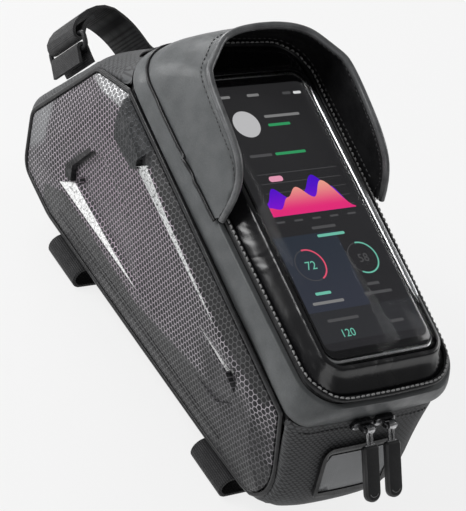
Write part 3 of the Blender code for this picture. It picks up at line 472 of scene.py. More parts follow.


# Painted shadow for the gills' steep walls, which face away from the light.
GILL_PAINTED_SHADOW: Colour = (0.004, 0.004, 0.005)
# Painted light and shade: the first seven strips paint the shell's facets lighter and darker for how the
# lamps fall on them.
SHELL_PAINTED_LIGHT = (
    PaintedLightStrip(((140, 108), (93, 101), (84, 81), (115, 39), (111, 20), (140, 20)), (0.13, 0.132, 0.138),
          (0.32, 0.32, 0.33), edge=6.0),
    PaintedLightStrip(((98, 98), (87, 99.5), (52, 108), (50, 122), (104, 122)), (0.16, 0.16, 0.165), (0.62, 0.62, 0.63),
          edge=1.5),
    PaintedLightStrip(((61.6, 114), (24, 112), (26, 97), (39.4, 86), (59.5, 89.9), (62, 98)), (0.008, 0.009, 0.01),
          (0.034, 0.036, 0.04), edge=0.8),
    PaintedLightStrip(((110, 18), (89, 29.5), (5, 24), (5, 0), (110, 0)), (0.014, 0.014, 0.015), (0.11, 0.11, 0.112),
          edge=1.5),
    PaintedLightStrip(((20, 23), (-72, 40), (-112, 30), (-112, 0), (20, 0)), (0.014, 0.014, 0.015), (0.11, 0.11, 0.112),
          edge=2.0),
    PaintedLightStrip(((36, 112), (26, 96), (-53, 69), (-96, 56), (-100, 84), (30, 122)), (0.016, 0.016, 0.017),
          (0.1, 0.1, 0.103), edge=2.0),
    PaintedLightStrip(((-30, 60), (-60, 64), (-112, 50), (-112, 20), (-60, 8)), (0.009, 0.009, 0.01),
          (0.13, 0.125, 0.135), edge=14.0),
    # Painted highlights: the three speckled light strips are the gills' up-facing walls, painted bright over
    # their speckled grain.
    PaintedLightStrip(((95.7, 30.4), (84.9, 39.1), (10.3, 30.6)), (0.45, 0.45, 0.45), (0.88, 0.88, 0.88), True),
    PaintedLightStrip(((35.5, 91.9), (29.7, 96.6), (-58, 67)), (0.22, 0.225, 0.225), (0.6, 0.61, 0.61), True),
    PaintedLightStrip(((-33.3, 58.7), (-68.9, 53.4), (-70, 55.8)), (0.2, 0.2, 0.2), (0.55, 0.55, 0.55), True),
    # Painted shadow: the last three strips darken the gills' steep walls.
    PaintedLightStrip(((92.6, 37), (94.3, 43.6), (88, 46), (85.2, 38.5)), GILL_PAINTED_SHADOW, GILL_PAINTED_SHADOW, True),
    PaintedLightStrip(((94.2, 43.2), (77.1, 69.5), (74.6, 66.3), (88, 45.2)), GILL_PAINTED_SHADOW, GILL_PAINTED_SHADOW, True),
    PaintedLightStrip(((37, 93), (29.5, 97.5), (30.5, 106)), GILL_PAINTED_SHADOW, GILL_PAINTED_SHADOW, True),
)
SHELL = ShellFinish("shell_honeycomb", (0.01, 0.01, 0.012), (0.42, 0.39, 0.42), (0.28, 0.55),
                    Effect.HONEYCOMB, 2.9, 0.12, 0.12, 0.7, 0.0, 0.35, coat=0.06, wear=0.2, axes=SIDE_AXES,
                    painted_light_strips=SHELL_PAINTED_LIGHT)
SHELL_BACK = Finish("shell_lining", (0.02, 0.02, 0.021), (0.035, 0.035, 0.036), (0.8, 0.95), Effect.WEAVE,
                    1.1, 0.5, 0.15, 0.6, axes=SIDE_AXES)
GUSSET = Finish("gusset_honeycomb", (0.085, 0.087, 0.09), (0.012, 0.012, 0.013), (0.5, 0.72),
                Effect.HONEYCOMB, 2.9, 0.2, 0.1, 0.5, sheen=0.05, uses_uv=True)
VINYL = Finish("lid_vinyl_cloth", (0.075, 0.079, 0.081), (0.102, 0.107, 0.11), (0.38, 0.52), Effect.GRAIN,
               0.55, 0.15, 0.05, 0.35, coat=0.05)
HOOD_INSIDE = Finish("hood_inside", (0.007, 0.007, 0.008), (0.018, 0.018, 0.019), (0.35, 0.55),
                     Effect.GRAIN, 0.6, 0.15, 0.05, 0.35)
TRIM = Finish("black_trim", (0.006, 0.006, 0.007), (0.016, 0.016, 0.017), (0.25, 0.42), Effect.GRAIN, 0.5,
              0.15, 0.05, 0.5, coat=0.08, wear_colour=(0.1, 0.1, 0.1))
HEM = Finish("hood_hem", (0.07, 0.072, 0.075), (0.13, 0.133, 0.137), (0.3, 0.42), Effect.GRAIN, 0.5, 0.15,
             0.04, 0.4, coat=0.2, wear_colour=(0.25, 0.25, 0.25))
THREAD = Finish("sewing_thread", (0.015, 0.015, 0.016), (0.09, 0.09, 0.092), (0.3, 0.5), Effect.WEAVE, 0.25,
                0.5, 0.05, 0.6)
# The binding's stitches: dark grey thread painted light grey as highlight along the binding's crest.
THREAD_PAINTED_HIGHLIGHT = Finish("binding_thread", (0.1, 0.1, 0.1), (0.42, 0.42, 0.42), (0.25, 0.4), Effect.WEAVE,
                      0.25, 0.5, 0.05, 0.6)
SURROUND = Finish("window_gloss", (0.004, 0.004, 0.005), (0.01, 0.01, 0.011), (0.2, 0.34), Effect.CRINKLE,
                  30.0, 0.5, 0.5, 0.5, coat=0.15, specular=0.5, wear=0.0)
SILVER = Finish("phone_silver", (0.52, 0.53, 0.54), (0.72, 0.73, 0.74), (0.22, 0.34), Effect.BRUSHED, 0.15,
                0.3, 0.02, 0.3, 1.0, wear=0.1, wear_colour=(0.8, 0.8, 0.8))
GLASS = Finish("phone_front_glass", (0.004, 0.004, 0.005), (0.008, 0.008, 0.009), (0.05, 0.12),
               Effect.CRINKLE, 20.0, 0.5, 0.01, 0.1, coat=0.4, specular=0.5, wear=0.0)
LOOP_WEB = Finish("loop_webbing", (0.005, 0.005, 0.006), (0.026, 0.026, 0.027), (0.55, 0.85), Effect.WEAVE,
                  1.5, 0.4, 0.25, 0.8, sheen=0.05, axes=LOOP_AXES)
FRONT_WEB = Finish("front_webbing", (0.007, 0.007, 0.008), (0.036, 0.036, 0.037), (0.5, 0.8), Effect.WEAVE,
                   0.8, 0.5, 0.2, 0.8, sheen=0.08, axes=FRONT_AXES)
RING = Finish("ring_moulding", (0.012, 0.012, 0.013), (0.028, 0.028, 0.03), (0.3, 0.45), Effect.GRAIN, 0.7,
              0.2, 0.06, 0.5, wear_colour=(0.08, 0.08, 0.08))
BLACK_METAL = Finish("black_plate", (0.02, 0.02, 0.022), (0.05, 0.05, 0.053), (0.12, 0.24), Effect.BRUSHED,
                     0.2, 0.3, 0.02, 0.3, 0.85, coat=0.3, wear=0.7, wear_colour=(0.55, 0.55, 0.56))
BRIGHT_METAL = Finish("bright_link", (0.4, 0.4, 0.41), (0.66, 0.66, 0.67), (0.16, 0.3), Effect.BRUSHED, 0.2,
                      0.3, 0.02, 0.4, 1.0, wear_colour=(0.8, 0.8, 0.8))
RUBBER = Finish("pull_rubber_skin", (0.009, 0.009, 0.01), (0.02, 0.02, 0.021), (0.36, 0.5), Effect.GRAIN,
                0.8, 0.2, 0.03, 0.4, specular=0.4, wear=0.5, wear_colour=(0.09, 0.09, 0.092))
RUBBER_RAISED = Finish("pull_raised_mark", (0.1, 0.1, 0.1), (0.2, 0.2, 0.2), (0.4, 0.5), Effect.GRAIN, 0.5,
                       0.2, 0.02, 0.3)
TAPE = Finish("zip_tape_weave", (0.008, 0.008, 0.009), (0.028, 0.028, 0.029), (0.7, 0.9), Effect.WEAVE, 0.9,
              0.5, 0.12, 0.7, axes=LID_AXES)
COIL = Finish("zip_coil_nylon", (0.012, 0.012, 0.013), (0.035, 0.035, 0.036), (0.3, 0.45), Effect.GRAIN,
              0.6, 0.2, 0.03, 0.3)
LINING = Finish("pocket_cloth", (0.02, 0.02, 0.021), (0.045, 0.045, 0.046), (0.75, 0.92), Effect.WEAVE, 1.0,
                0.5, 0.12, 0.6, axes=LID_AXES)
PLATE = Finish("badge_reflector", (0.16, 0.165, 0.17), (0.26, 0.265, 0.27), (0.25, 0.4), Effect.HONEYCOMB,
               1.1, 0.12, 0.05, 0.3, 0.35, coat=0.2, axes=((1.0, 0.0, 0.0), (0.0, 0.3, 0.95)))


@dataclass(frozen=True)
class LidPlane:
    """The lid's frame: x across, y along it from its rear, z up from the phone's glass, all in mm.

    The stern's zip is drawn in by up to draw_most, eased over draw_run from draw_start; draw_along and
    draw_down are its shares along the bag and down from the glass.
    """

    tilt: float = math.radians(16.0)
    origin_y: float = -107.0
    origin_z: float = 93.3
    draw_start: float = -55.0
    draw_run: float = 60.0
    draw_most: float = 5.5
    draw_along: float = 0.947
    draw_down: float = 1.222

    def place(self, x: float, y: float, z: float) -> Vector:
        """Returns a place of the lid's frame in metres in the bag's frame."""
        c, s = math.cos(self.tilt), math.sin(self.tilt)
        return Vector((x, self.origin_y + y * c - z * s, self.origin_z + y * s + z * c)) * MM

    def local(self, p: Vector) -> Vector:
        """Returns a place of the bag's frame, in metres, in the lid's frame."""
        c, s = math.cos(self.tilt), math.sin(self.tilt)
        y, z = p.y / MM - self.origin_y, p.z / MM - self.origin_z
        return Vector((p.x / MM, y * c + z * s, -y * s + z * c))

    def level(self, p: Vector) -> float:
        """Returns a zip point's height over the glass before the stern is drawn in, from its lid place."""
        y = self.place(*p).y / MM
        pull = 0.0
        for _ in range(6):
            t = min(max((self.draw_start - y + self.draw_along * pull) / self.draw_run, 0.0), 1.0)
            pull = self.draw_most * t * t * (3 - 2 * t)
        return p.z + self.draw_down * pull

    def up(self) -> Vector:
        """Returns the lid's upward normal."""
        return Vector((0.0, -math.sin(self.tilt), math.cos(self.tilt)))


LID = LidPlane()


def new_object(name: str, data: bpy.types.ID) -> bpy.types.Object:
    """Adds an object to the scene."""
    made = bpy.data.objects.new(name, data)
    bpy.context.scene.collection.objects.link(made)
    return made


def mesh_object(name: str, build: bmesh.types.BMesh, finishes: Sequence[Look] = (),
                sharp: float = 180.0) -> bpy.types.Object:
    """Adds an object of a mesh, which is used up, shaded smooth but for edges over an angle in degrees."""
    mesh = bpy.data.meshes.new(name)
    build.to_mesh(mesh)
    build.free()
    mesh.shade_smooth()
    mesh.set_sharp_from_angle(angle=math.radians(sharp))
    for finish in finishes:
        mesh.materials.append(finish.material())
    return new_object(name, mesh)


def finish_piece(name: str, build: bmesh.types.BMesh, finishes: Sequence[Look], body: str, slot: str,
                 sharp: float = 40.0) -> bpy.types.Object:
    """Makes a piece that rides on a body.

    Args:
        name: the piece's name.
        build: its mesh, which is used up.
        finishes: finishes of its material slots.
        body: the body that it moves with.
        slot: the record's material slot; not used.
        sharp: edges over this angle, in degrees, stay sharp.

    Returns:
        The new object.
    """
    made = mesh_object(name, build, finishes, sharp)
    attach(made, body)
    return made


def evaluated_mesh(obj: bpy.types.Object) -> bpy.types.Mesh:
    """Returns a mesh of an object with its modifiers applied."""
    bpy.context.view_layer.update()
    graph = bpy.context.evaluated_depsgraph_get()
    return bpy.data.meshes.new_from_object(obj.evaluated_get(graph))


def refined(node: str, name: str, finishes: Sequence[Look], body: str, slot: str, levels: int = 1,
            crease: float = 38.0, bevel: float = 0.0, move: Move | None = None,
            sharp: float = 40.0) -> bpy.types.Object:
    """Makes the fine piece that stands for a solid of the frame.

    Args:
        node: the solid's node.
        name: the new piece's name.
        finishes: finishes of its material slots.
        body: the body that it moves with.
        slot: the record's material slot; not used.
        levels: subdivisions, which round the facets.
        crease: edges over this angle, in degrees, are kept.
        bevel: width of the rounding along edges, in mm.
        move: gives each point's move from its place and normal.
        sharp: edges over this angle, in degrees, are shaded sharp.

    Returns:
        The new object.
    """
    build = bmesh.new()
    build.from_mesh(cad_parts[node].data)
    bmesh.ops.remove_doubles(build, verts=build.verts, dist=WELD)
    if levels:
        bmesh.ops.join_triangles(build, faces=build.faces, angle_face_threshold=JOIN_ANGLE,
                                 angle_shape_threshold=JOIN_SHAPE)
        layer = build.edges.layers.float.new("crease_edge")
        for edge in build.edges:
            if len(edge.link_faces) == 2 and edge.calc_face_angle() > math.radians(crease):
                edge[layer] = 1.0
    elif bevel:
        bmesh.ops.dissolve_limit(build, angle_limit=FLAT_ANGLE, verts=build.verts, edges=build.edges)
    made = finish_piece(name, build, finishes, body, slot, sharp)
    if bevel:
        rounding = made.modifiers.new("rounding", "BEVEL")
        rounding.width = bevel * MM
        rounding.segments = 3
        rounding.limit_method = "ANGLE"
        rounding.angle_limit = BEVEL_ANGLE
    if levels:
        smooth = made.modifiers.new("smooth", "SUBSURF")
        smooth.levels = smooth.render_levels = levels
    solid = evaluated_mesh(made)
    made.modifiers.clear()
    made.data = solid
    if move:
        moves = [move(v.co.copy(), v.normal.copy()) for v in made.data.vertices]
        for vertex, step in zip(made.data.vertices, moves):
            vertex.co += step
    made.data.shade_smooth()
    made.data.set_sharp_from_angle(angle=math.radians(sharp))
    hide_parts(node)
    return made


def ripple(size: float, depth: float, seed: float) -> Move:
    """Returns a move along the normal by soft noise.

    Args:
        size: length of a wave in mm.
        depth: the most that a point moves, in mm.
        seed: offset of the noise.

    Returns:
        The move.
    """
    def move(place: Vector, normal: Vector) -> Vector:
        """Gives one point's move."""
        return normal * (noise.noise(place / (size * MM) + Vector((seed, 0, 0))) * depth * MM)
    return move


def swell(depth: float) -> Move:
    """Returns a move of every point outward along its normal, by a depth in mm."""
    return lambda place, normal: normal * (depth * MM)


def side_reach(base: Move, reach: float) -> Move:
    """Returns a move that also pushes the faces at the sides outward, by a reach in mm."""
    def move(place: Vector, normal: Vector) -> Vector:
        """Gives one point's move."""
        push = math.copysign(reach * MM, place.x) if abs(normal.x) > 0.5 else 0.0
        return base(place, normal) + Vector((push, 0, 0))
    return move


class Surface:
    """A solid's surface, to set stitches and ridges on."""

    def __init__(self, *nodes: str) -> None:
        """Reads the triangles of the named nodes."""
        points: list[Vector] = []
        faces: list[list[int]] = []
        for node in nodes:
            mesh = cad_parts[node].data
            start = len(points)
            points += [v.co.copy() for v in mesh.vertices]
            faces += [[start + i for i in polygon.vertices] for polygon in mesh.polygons]
        self.tree = BVHTree.FromPolygons(points, faces)

    def hit(self, origin: Vector, direction: Vector) -> tuple[Vector, Vector] | None:
        """Returns the place and outward normal where a ray meets the surface, or None."""
        place, normal, _, _ = self.tree.ray_cast(origin, direction)
        if place is None:
            return None
        return place, (normal if normal.dot(direction) < 0 else -normal)

    def nearest(self, point: Vector) -> tuple[Vector, Vector]:
        """Returns the nearest place and the normal there, pointing to the given side."""
        place, normal, _, _ = self.tree.find_nearest(point)
        return place, (normal if normal.dot(point - place) > 0 else -normal)


def resample(path: Sequence[Vector], pitch: float, closed: bool = False) -> list[Vector]:
    """Returns points along a path, about a pitch (m) apart."""
    line = list(path) + ([path[0]] if closed else [])
    lengths = [0.0]
    for a, b in zip(line, line[1:]):
        lengths.append(lengths[-1] + (b - a).length)
    count = max(2, round(lengths[-1] / pitch))
    found = []
    k = 0
    for i in range(count + (0 if closed else 1)):
        want = lengths[-1] * i / count
        while k < len(lengths) - 2 and lengths[k + 1] < want:
            k += 1
        span = max(lengths[k + 1] - lengths[k], 1e-9)
        found.append(line[k].lerp(line[k + 1], (want - lengths[k]) / span))
    return found


def sweep(build: bmesh.types.BMesh, path: Sequence[Vector], radius: Callable[[float], float] | float,
          sides: int = 8, closed: bool = False, up: Vector = Vector((0, 0, 1)), flat: float = 1.0) -> None:
    """Adds a round bar along a path.

    Args:
        build: the mesh that it goes in.
        path: its middle line, in metres.
        radius: its radius in metres, or a function of the share of its length.
        sides: corners of its section.
        closed: True if the path is a loop.
        up: the direction that the section's height follows.
        flat: height of the section as a share of its width.
    """
    rows = []
    count = len(path)
    for i, p in enumerate(path):
        a = path[i - 1] if closed or i else path[0]
        b = path[(i + 1) % count] if closed or i < count - 1 else path[-1]
        run = (b - a).normalized()
        side = run.cross(up).normalized()
        over = side.cross(run)
        r = radius(i / max(count - 1, 1)) if callable(radius) else radius
        row = []
        for k in range(sides):
            turn = 2 * math.pi * k / sides
            row.append(build.verts.new(p + side * r * math.cos(turn) + over * r * flat * math.sin(turn)))
        rows.append(row)
    pairs = list(zip(rows, rows[1:])) + ([(rows[-1], rows[0])] if closed else [])
    for one, two in pairs:
        for k in range(sides):
            j = (k + 1) % sides
            build.faces.new((one[k], one[j], two[j], two[k]))
    if not closed:
        build.faces.new(list(reversed(rows[0])))
        build.faces.new(rows[-1])


# A stitch: its height over the surface along it in thread radii, its end's share of the radius, and
# the shortest one that is sewn, as a share of the pitch
STITCH_ARCH = ((0.0, -0.5), (0.22, 0.35), (0.5, 0.55), (0.78, 0.35), (1.0, -0.5))
STITCH_END = 0.55
SHORTEST_STITCH = 0.3


def stitch_row(name: str, path: Sequence[Vector], surface: Surface, body: str, slot: str,
               pitch: float = 3.0, share: float = 0.68, radius: float = 0.32, closed: bool = False,
               finish: Finish = THREAD) -> bpy.types.Object:
    """Sews a row of stitches on a surface.

    Args:
        name: the piece's name.
        path: the seam's line, on the side that the stitches lie on, in metres.
        surface: what they are sewn into.
        body: the body that they move with.
        slot: the record's material slot; not used.
        pitch: distance between stitches in mm.
        share: length of a stitch as a share of the pitch.
        radius: thickness of the thread, in mm.
        closed: True if the seam is a loop.
        finish: the thread's finish.

    Returns:
        The new object.
    """
    build = bmesh.new()
    points = resample(path, pitch * MM, closed)
    count = len(points)
    for i in range(count if closed else count - 1):
        start, end = points[i], points[(i + 1) % count]
        (a, one), (b, two) = surface.nearest(start), surface.nearest(start.lerp(end, share))
        away = (one + two).normalized()
        if (b - a).length < SHORTEST_STITCH * pitch * MM:
            continue
        line = [a.lerp(b, t) + away * radius * sink * MM for t, sink in STITCH_ARCH]
        sweep(build, line, lambda t: radius * MM * (STITCH_END if t in (0.0, 1.0) else 1.0), 6, up=away)
    return finish_piece(name, build, (finish,), body, slot, 60)


def polar_line(points: Sequence[Vector], middle: Vector, bins: int, start: float = -math.pi,
               end: float = math.pi) -> list[Vector]:
    """Returns the line through a band of points, ordered by their angle round a middle.

    Args:
        points: places in the lid's frame.
        middle: the place that they go round.
        bins: how many parts the turn is split into.
        start: first angle from the lid's y axis.
        end: last angle.

    Returns:
        The mean place of each part that holds points.
    """
    held: dict[int, list[Vector]] = {}
    for p in points:
        angle = math.atan2(p.x - middle.x, p.y - middle.y)
        key = int((angle - start) / (end - start) * bins)
        if 0 <= key < bins:
            held.setdefault(key, []).append(p)
    return [sum(held[key], Vector()) / len(held[key]) for key in sorted(held)]


def lid_points(node: str, keep: Callable[[Vector], bool]) -> list[Vector]:
    """Returns a node's points in the lid's frame that a test keeps."""
    found = [LID.local(v.co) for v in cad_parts[node].data.vertices]
    return [p for p in found if keep(p)]


# The middle of the lid's outline, and how a zip tape's edge is read: its depth, its parts round the lid,
# its pitch, and the neighbours on each side that a point is evened out with
LID_MIDDLE = Vector((0, 82, 0))
RIM_DEPTH = 0.8
RIM_PARTS = 160
RIM_PITCH = 1.5
RIM_REACH = 4


def tape_rim(node: str, low: bool) -> list[Vector]:
    """Returns the line of a zip tape's lower or upper edge, in the lid's frame."""
    points = lid_points(node, lambda p: True)
    ends = [LID.level(p) for p in points]
    edge = min(ends) if low else max(ends)
    rim = [p for p, level in zip(points, ends) if abs(level - edge) < RIM_DEPTH]
    line = resample(polar_line(rim, LID_MIDDLE, RIM_PARTS), RIM_PITCH, True)
    near = range(-RIM_REACH, RIM_REACH + 1)
    return [sum((line[(i + k) % len(line)] for k in near), Vector()) / len(near) for i in range(len(line))]


@dataclass
class SideShells:
    """The two moulded shells, their piping and the fine ridges over their lower edge."""

    rounding: float = 0.7
    ridge_heights: tuple[float, float] = (12.0, 15.0)
    ridge_start: float = -72.0
    ridge_end: float = 92.0
    ridge_radius: float = 0.35
    ridge_points: int = 60
    outside: float = 200.0

    def build(self) -> None:
        """Makes both shells with their piping and ridges."""
        for side, label in ((-1, "left"), (1, "right")):
            shell = refined("side_shell_" + label, "moulded_shell_" + label, (SHELL, SHELL_BACK), "bag",
                            "shell_moulding", 0, bevel=self.rounding, sharp=25)
            for face in shell.data.polygons:
                face.material_index = 1 if face.normal.x * side < -0.5 else 0
            piping = refined("piping_" + label, "shell_piping_" + label, (TRIM,), "bag", "piping_trim",
                             1, 80)
            self.ridges(side, label)
            log.info("%s shell: %d faces, piping %d", label, len(shell.data.polygons),
                     len(piping.data.polygons))

    def ridges(self, side: int, label: str) -> None:
        """Makes the fine ridges of one shell."""
        surface = Surface("side_shell_" + label)
        build = bmesh.new()
        for height in self.ridge_heights:
            line = []
            for k in range(self.ridge_points):
                y = self.ridge_start + (self.ridge_end - self.ridge_start) * k / (self.ridge_points - 1)
                start = Vector((side * self.outside, y, height)) * MM
                found = surface.hit(start, Vector((-side, 0, 0)))
                if found:
                    line.append(found[0])
            sweep(build, line, self.ridge_radius * MM, 6, up=Vector((side, 0, 0)))
        finish_piece("shell_ridges_" + label, build, (SHELL,), "bag", "shell_moulding", 60)


@dataclass
class GussetPanel:
    """The cloth between the shells, with its seam under the zip and the rear badge."""

    middle: tuple[float, float] = (15.0, 50.0)
    centre_half: float = 8.0
    side_push: float = 1.3
    seam_drop: float = 4.0
    seam_half: float = 38.0
    seam_points: int = 41
    search_top: float = 75.0
    search_steps: int = 60
    search_step: float = 0.5
    behind: float = -300.0
    stern_y: float = -90.0

    def unwrap(self, obj: bpy.types.Object) -> None:
        """Lays the cloth's pattern out: across the bag, and along the profile's own length."""
        def angle(p: Vector) -> float:
            """Gives the turn of a point round the bag's middle."""
            turn = math.atan2(p.z - self.middle[1] * MM, p.y - self.middle[0] * MM)
            return turn - 2 * math.pi if turn > math.radians(100) else turn
        table = sorted((angle(v.co), v.co.y, v.co.z) for v in obj.data.vertices
                       if abs(v.co.x) < self.centre_half * MM)
        lengths = [0.0]
        for one, two in zip(table, table[1:]):
            step = math.hypot(two[1] - one[1], two[2] - one[2])
            lengths.append(lengths[-1] + (step if two[0] - one[0] > 1e-4 else 0.0))
        def along(p: Vector) -> float:
            """Gives the length along the profile at a point."""
            want = angle(p)
            low, high = 0, len(table) - 1
            while high - low > 1:
                half = (low + high) // 2
                low, high = (half, high) if table[half][0] < want else (low, half)
            span = max(table[high][0] - table[low][0], 1e-9)
            share = min(max((want - table[low][0]) / span, 0), 1)
            return lengths[low] + (lengths[high] - lengths[low]) * share
        layer = obj.data.uv_layers.new(name="cloth")
        places = [(v.co.x, along(v.co)) for v in obj.data.vertices]
        for loop in obj.data.loops:
            layer.data[loop.index].uv = places[loop.vertex_index]

    def build(self) -> None:
        """Makes the panel, the seam and the badge."""
        panel = refined("gusset", "gusset_cloth", (GUSSET,), "bag", "gusset_fabric", 1, 60,
                        move=side_reach(ripple(24, 0.35, 3.0), self.side_push))
        self.unwrap(panel)
        surface = Surface("gusset")

        def stern(x: float, z: float) -> tuple[Vector, Vector] | None:
            """Finds the stern's cloth from behind."""
            found = surface.hit(Vector((x, self.behind, z)) * MM, Vector((0, 1, 0)))
            return found if found and found[0].y < self.stern_y * MM else None

        rear = []
        for k in range(self.seam_points):
            x = self.seam_half * (2 * k / (self.seam_points - 1) - 1)
            heights = (self.search_top - step * self.search_step for step in range(self.search_steps))
            edge = next((z for z in heights if stern(x, z)), None)
            if edge is not None:
                place, normal = stern(x, edge - self.seam_drop)
                rear.append(place + normal * 2 * MM)
        stitch_row("rear_seam", rear, surface, "bag", "piping_trim", 2.6)
        refined("badge_border", "badge_rim", (TRIM,), "bag", "piping_trim", 1, 75)
        refined("badge_plate", "badge_face", (PLATE,), "bag", "badge_plate", 0)
        log.info("gusset: %d faces, seam of %d points", len(panel.data.polygons), len(rear))


@dataclass
class PhoneLid:
    """The lid: its cloth wall, binding, glossy surround, film, pocket, zip teeth and cloth hinge."""

    tooth: tuple[float, float, float] = (1.5, 1.0, 1.1)
    tooth_pitch: float = 2.6
    tooth_bevel: float = 0.25
    tooth_sink: float = 0.35
    crest_level: float = -6.7
    roll_pitch: float = 2.5
    roll_radius: float = 1.5
    facing_drop: float = 3.2
    facing_radius: float = 0.55
    front_y: float = 188.0
    cloth_half: float = 34.0
    cloth_low: float = -25.6
    cloth_height: float = 9.2
    cloth_thick: float = 0.8
    cloth_bulge: float = 0.9
    cloth_sink: float = 0.3
    cloth_grid: tuple[int, int] = (24, 8)
    ribs: int = 6
    rib_level: float = -16.2
    rib_pitch: float = 1.15
    rib_half: float = 26.0
    rib_radius: float = 0.62
    rib_points: int = 25

    def build(self) -> None:
        """Makes all of the lid but the hood and the phone."""
        wall = refined("lid_wall", "lid_cloth_wall", (VINYL,), "lid", "lid_vinyl", 2, 60,
                       move=ripple(38, 0.22, 9.0))
        binding = refined("window_binding", "window_welt", (TRIM,), "lid", "piping_trim", 1, 80)
        refined("window_surround", "window_raised_frame", (SURROUND,), "lid", "window_surround", 2, 62)
        refined("window_film", "window_clear_film", (FilmFinish(),), "lid", "clear_film", 0)
        pocket = refined("pocket_back", "phone_pocket", (LINING,), "lid", "pocket_lining", 1, 50)
        pad = refined("phone_pad", "phone_cushion", (LINING,), "lid", "pocket_lining", 2, 70)
        for tape, body in (("zip_tape_body", "bag"), ("zip_tape_lid", "lid")):
            refined(tape, tape + "_cloth", (TAPE,), body, "zip_tape", 0)
        crest = polar_line(lid_points("window_binding", lambda p: p.z > self.crest_level), LID_MIDDLE, 120)
        path = [LID.place(p.x, p.y, p.z + 3) for p in crest]
        stitch_row("binding_stitches", path, Surface("window_binding"), "lid", "piping_trim", 2.9, 0.66,
                   0.5, closed=True, finish=THREAD_PAINTED_HIGHLIGHT)
        self.teeth()
        self.mouth_roll()
        self.hinge_cloth()
        self.front_ribs()
        log.info("lid: wall %d faces, welt %d, pocket %d",
                 *(len(made.data.polygons) for made in (wall, binding, pocket)))

    def teeth(self) -> None:
        """Makes the zip's teeth along both tapes."""
        for node, body, side in (("zip_tape_lid", "lid", -1), ("zip_tape_body", "bag", 1)):
            path = [LID.place(*p) for p in tape_rim(node, side < 0)]
            build = bmesh.new()
            line = resample(path, self.tooth_pitch * MM, True)
            for i, p in enumerate(line):
                run = (line[(i + 1) % len(line)] - line[i - 1]).normalized()
                up = LID.up()
                out = run.cross(up)
                spin = Matrix((run, out, up)).transposed().to_4x4()
                spin.translation = p - up * side * self.tooth_sink * MM
                size = Matrix.Diagonal((*(length * MM for length in self.tooth), 1.0))
                cube = bmesh.ops.create_cube(build, size=1.0, matrix=spin @ size)
                edges = [e for v in cube["verts"] for e in v.link_edges]
                bmesh.ops.bevel(build, geom=list(set(edges)), offset=self.tooth_bevel * MM, segments=1,
                                affect="EDGES")
            finish_piece("zip_teeth_" + body, build, (COIL,), body, "zip_tape", 50)

    def mouth_roll(self) -> None:
        """Makes the rolled seam that joins the body's tape to the shells and the gusset."""
        rim = tape_rim("zip_tape_body", True)
        build = bmesh.new()
        path = []
        for p in rim:
            away = Vector((p.x, p.y - LID_MIDDLE.y, 0)).normalized()
            path.append(LID.place(p.x + away.x, p.y + away.y, p.z - 0.6))
        pitch = self.roll_pitch * MM
        sweep(build, resample(path, pitch, True), self.roll_radius * MM, 8, True, LID.up(), 2.0)
        finish_piece("mouth_rolled_seam", build, (TRIM,), "bag", "piping_trim", 60)
        facing = bmesh.new()
        hang = [LID.place(p.x, p.y, p.z - self.facing_drop) for p in rim]
        sweep(facing, resample(hang, pitch, True), self.facing_radius * MM, 8, True, LID.up(), 7.0)
        finish_piece("mouth_facing", facing, (LINING,), "bag", "pocket_lining", 60)

    def front_edge(self, surface: Surface, x: float, level: float) -> float:
        """Returns how far forward (mm, lid's frame) the cloth lies at a place across and a level."""
        ahead, inside = LID.place(x, 230.0, level), LID.place(x, 100.0, level)
        found = surface.hit(ahead, inside - ahead)
        return LID.local(found[0]).y if found else self.front_y

    def hinge_cloth(self) -> None:
        """Makes the strip of cloth that hinges the lid at its front."""
        build = bmesh.new()
        body = Surface("lid_wall", "gusset", "zip_tape_lid", "zip_tape_body")
        columns, rows = self.cloth_grid
        levels = (self.cloth_low, self.cloth_low + self.cloth_height)
        back, front = [], []
        for sheet, lift in ((back, 0.0), (front, self.cloth_thick)):
            for i in range(columns + 1):
                x = self.cloth_half * (2 * i / columns - 1)
                low, high = (self.front_edge(body, x, level) for level in levels)
                line = []
                for j in range(rows + 1):
                    t = j / rows
                    out = low + (high - low) * t + self.cloth_bulge * math.sin(math.pi * t) + lift
                    place = LID.place(x, out - self.cloth_sink, self.cloth_low + self.cloth_height * t)
                    line.append(build.verts.new(place))
                sheet.append(line)
        for i in range(columns):
            for j in range(rows):
                build.faces.new((front[i][j], front[i + 1][j], front[i + 1][j + 1], front[i][j + 1]))
                build.faces.new((back[i][j + 1], back[i + 1][j + 1], back[i + 1][j], back[i][j]))
        for j in range(rows):
            build.faces.new((back[0][j], front[0][j], front[0][j + 1], back[0][j + 1]))
            build.faces.new((front[-1][j], back[-1][j], back[-1][j + 1], front[-1][j + 1]))
        for i in range(columns):
            build.faces.new((back[i][0], back[i + 1][0], front[i + 1][0], front[i][0]))
            build.faces.new((front[i][-1], front[i + 1][-1], back[i + 1][-1], back[i][-1]))
        bmesh.ops.recalc_face_normals(build, faces=build.faces)
        cloth = mesh_object("hinge_cloth", build, (TAPE,))
        LID.place(0, 188, -24.5)
        LID.place(0, 188, -17.5)
        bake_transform(cloth)

    def front_ribs(self) -> None:
        """Makes the ribbed black strip on the lid's front wall."""
        build = bmesh.new()
        wall = Surface("lid_wall")
        for k in range(self.ribs):
            level = self.rib_level + self.rib_pitch * k
            line = []
            for i in range(self.rib_points):
                x = self.rib_half * (2 * i / (self.rib_points - 1) - 1)
                line.append(LID.place(x, self.front_edge(wall, x, level) + 0.1, level))
            sweep(build, line, self.rib_radius * MM, 6, up=LID.up())
        finish_piece("front_ribbed_strip", build, (TRIM,), "lid", "piping_trim", 60)


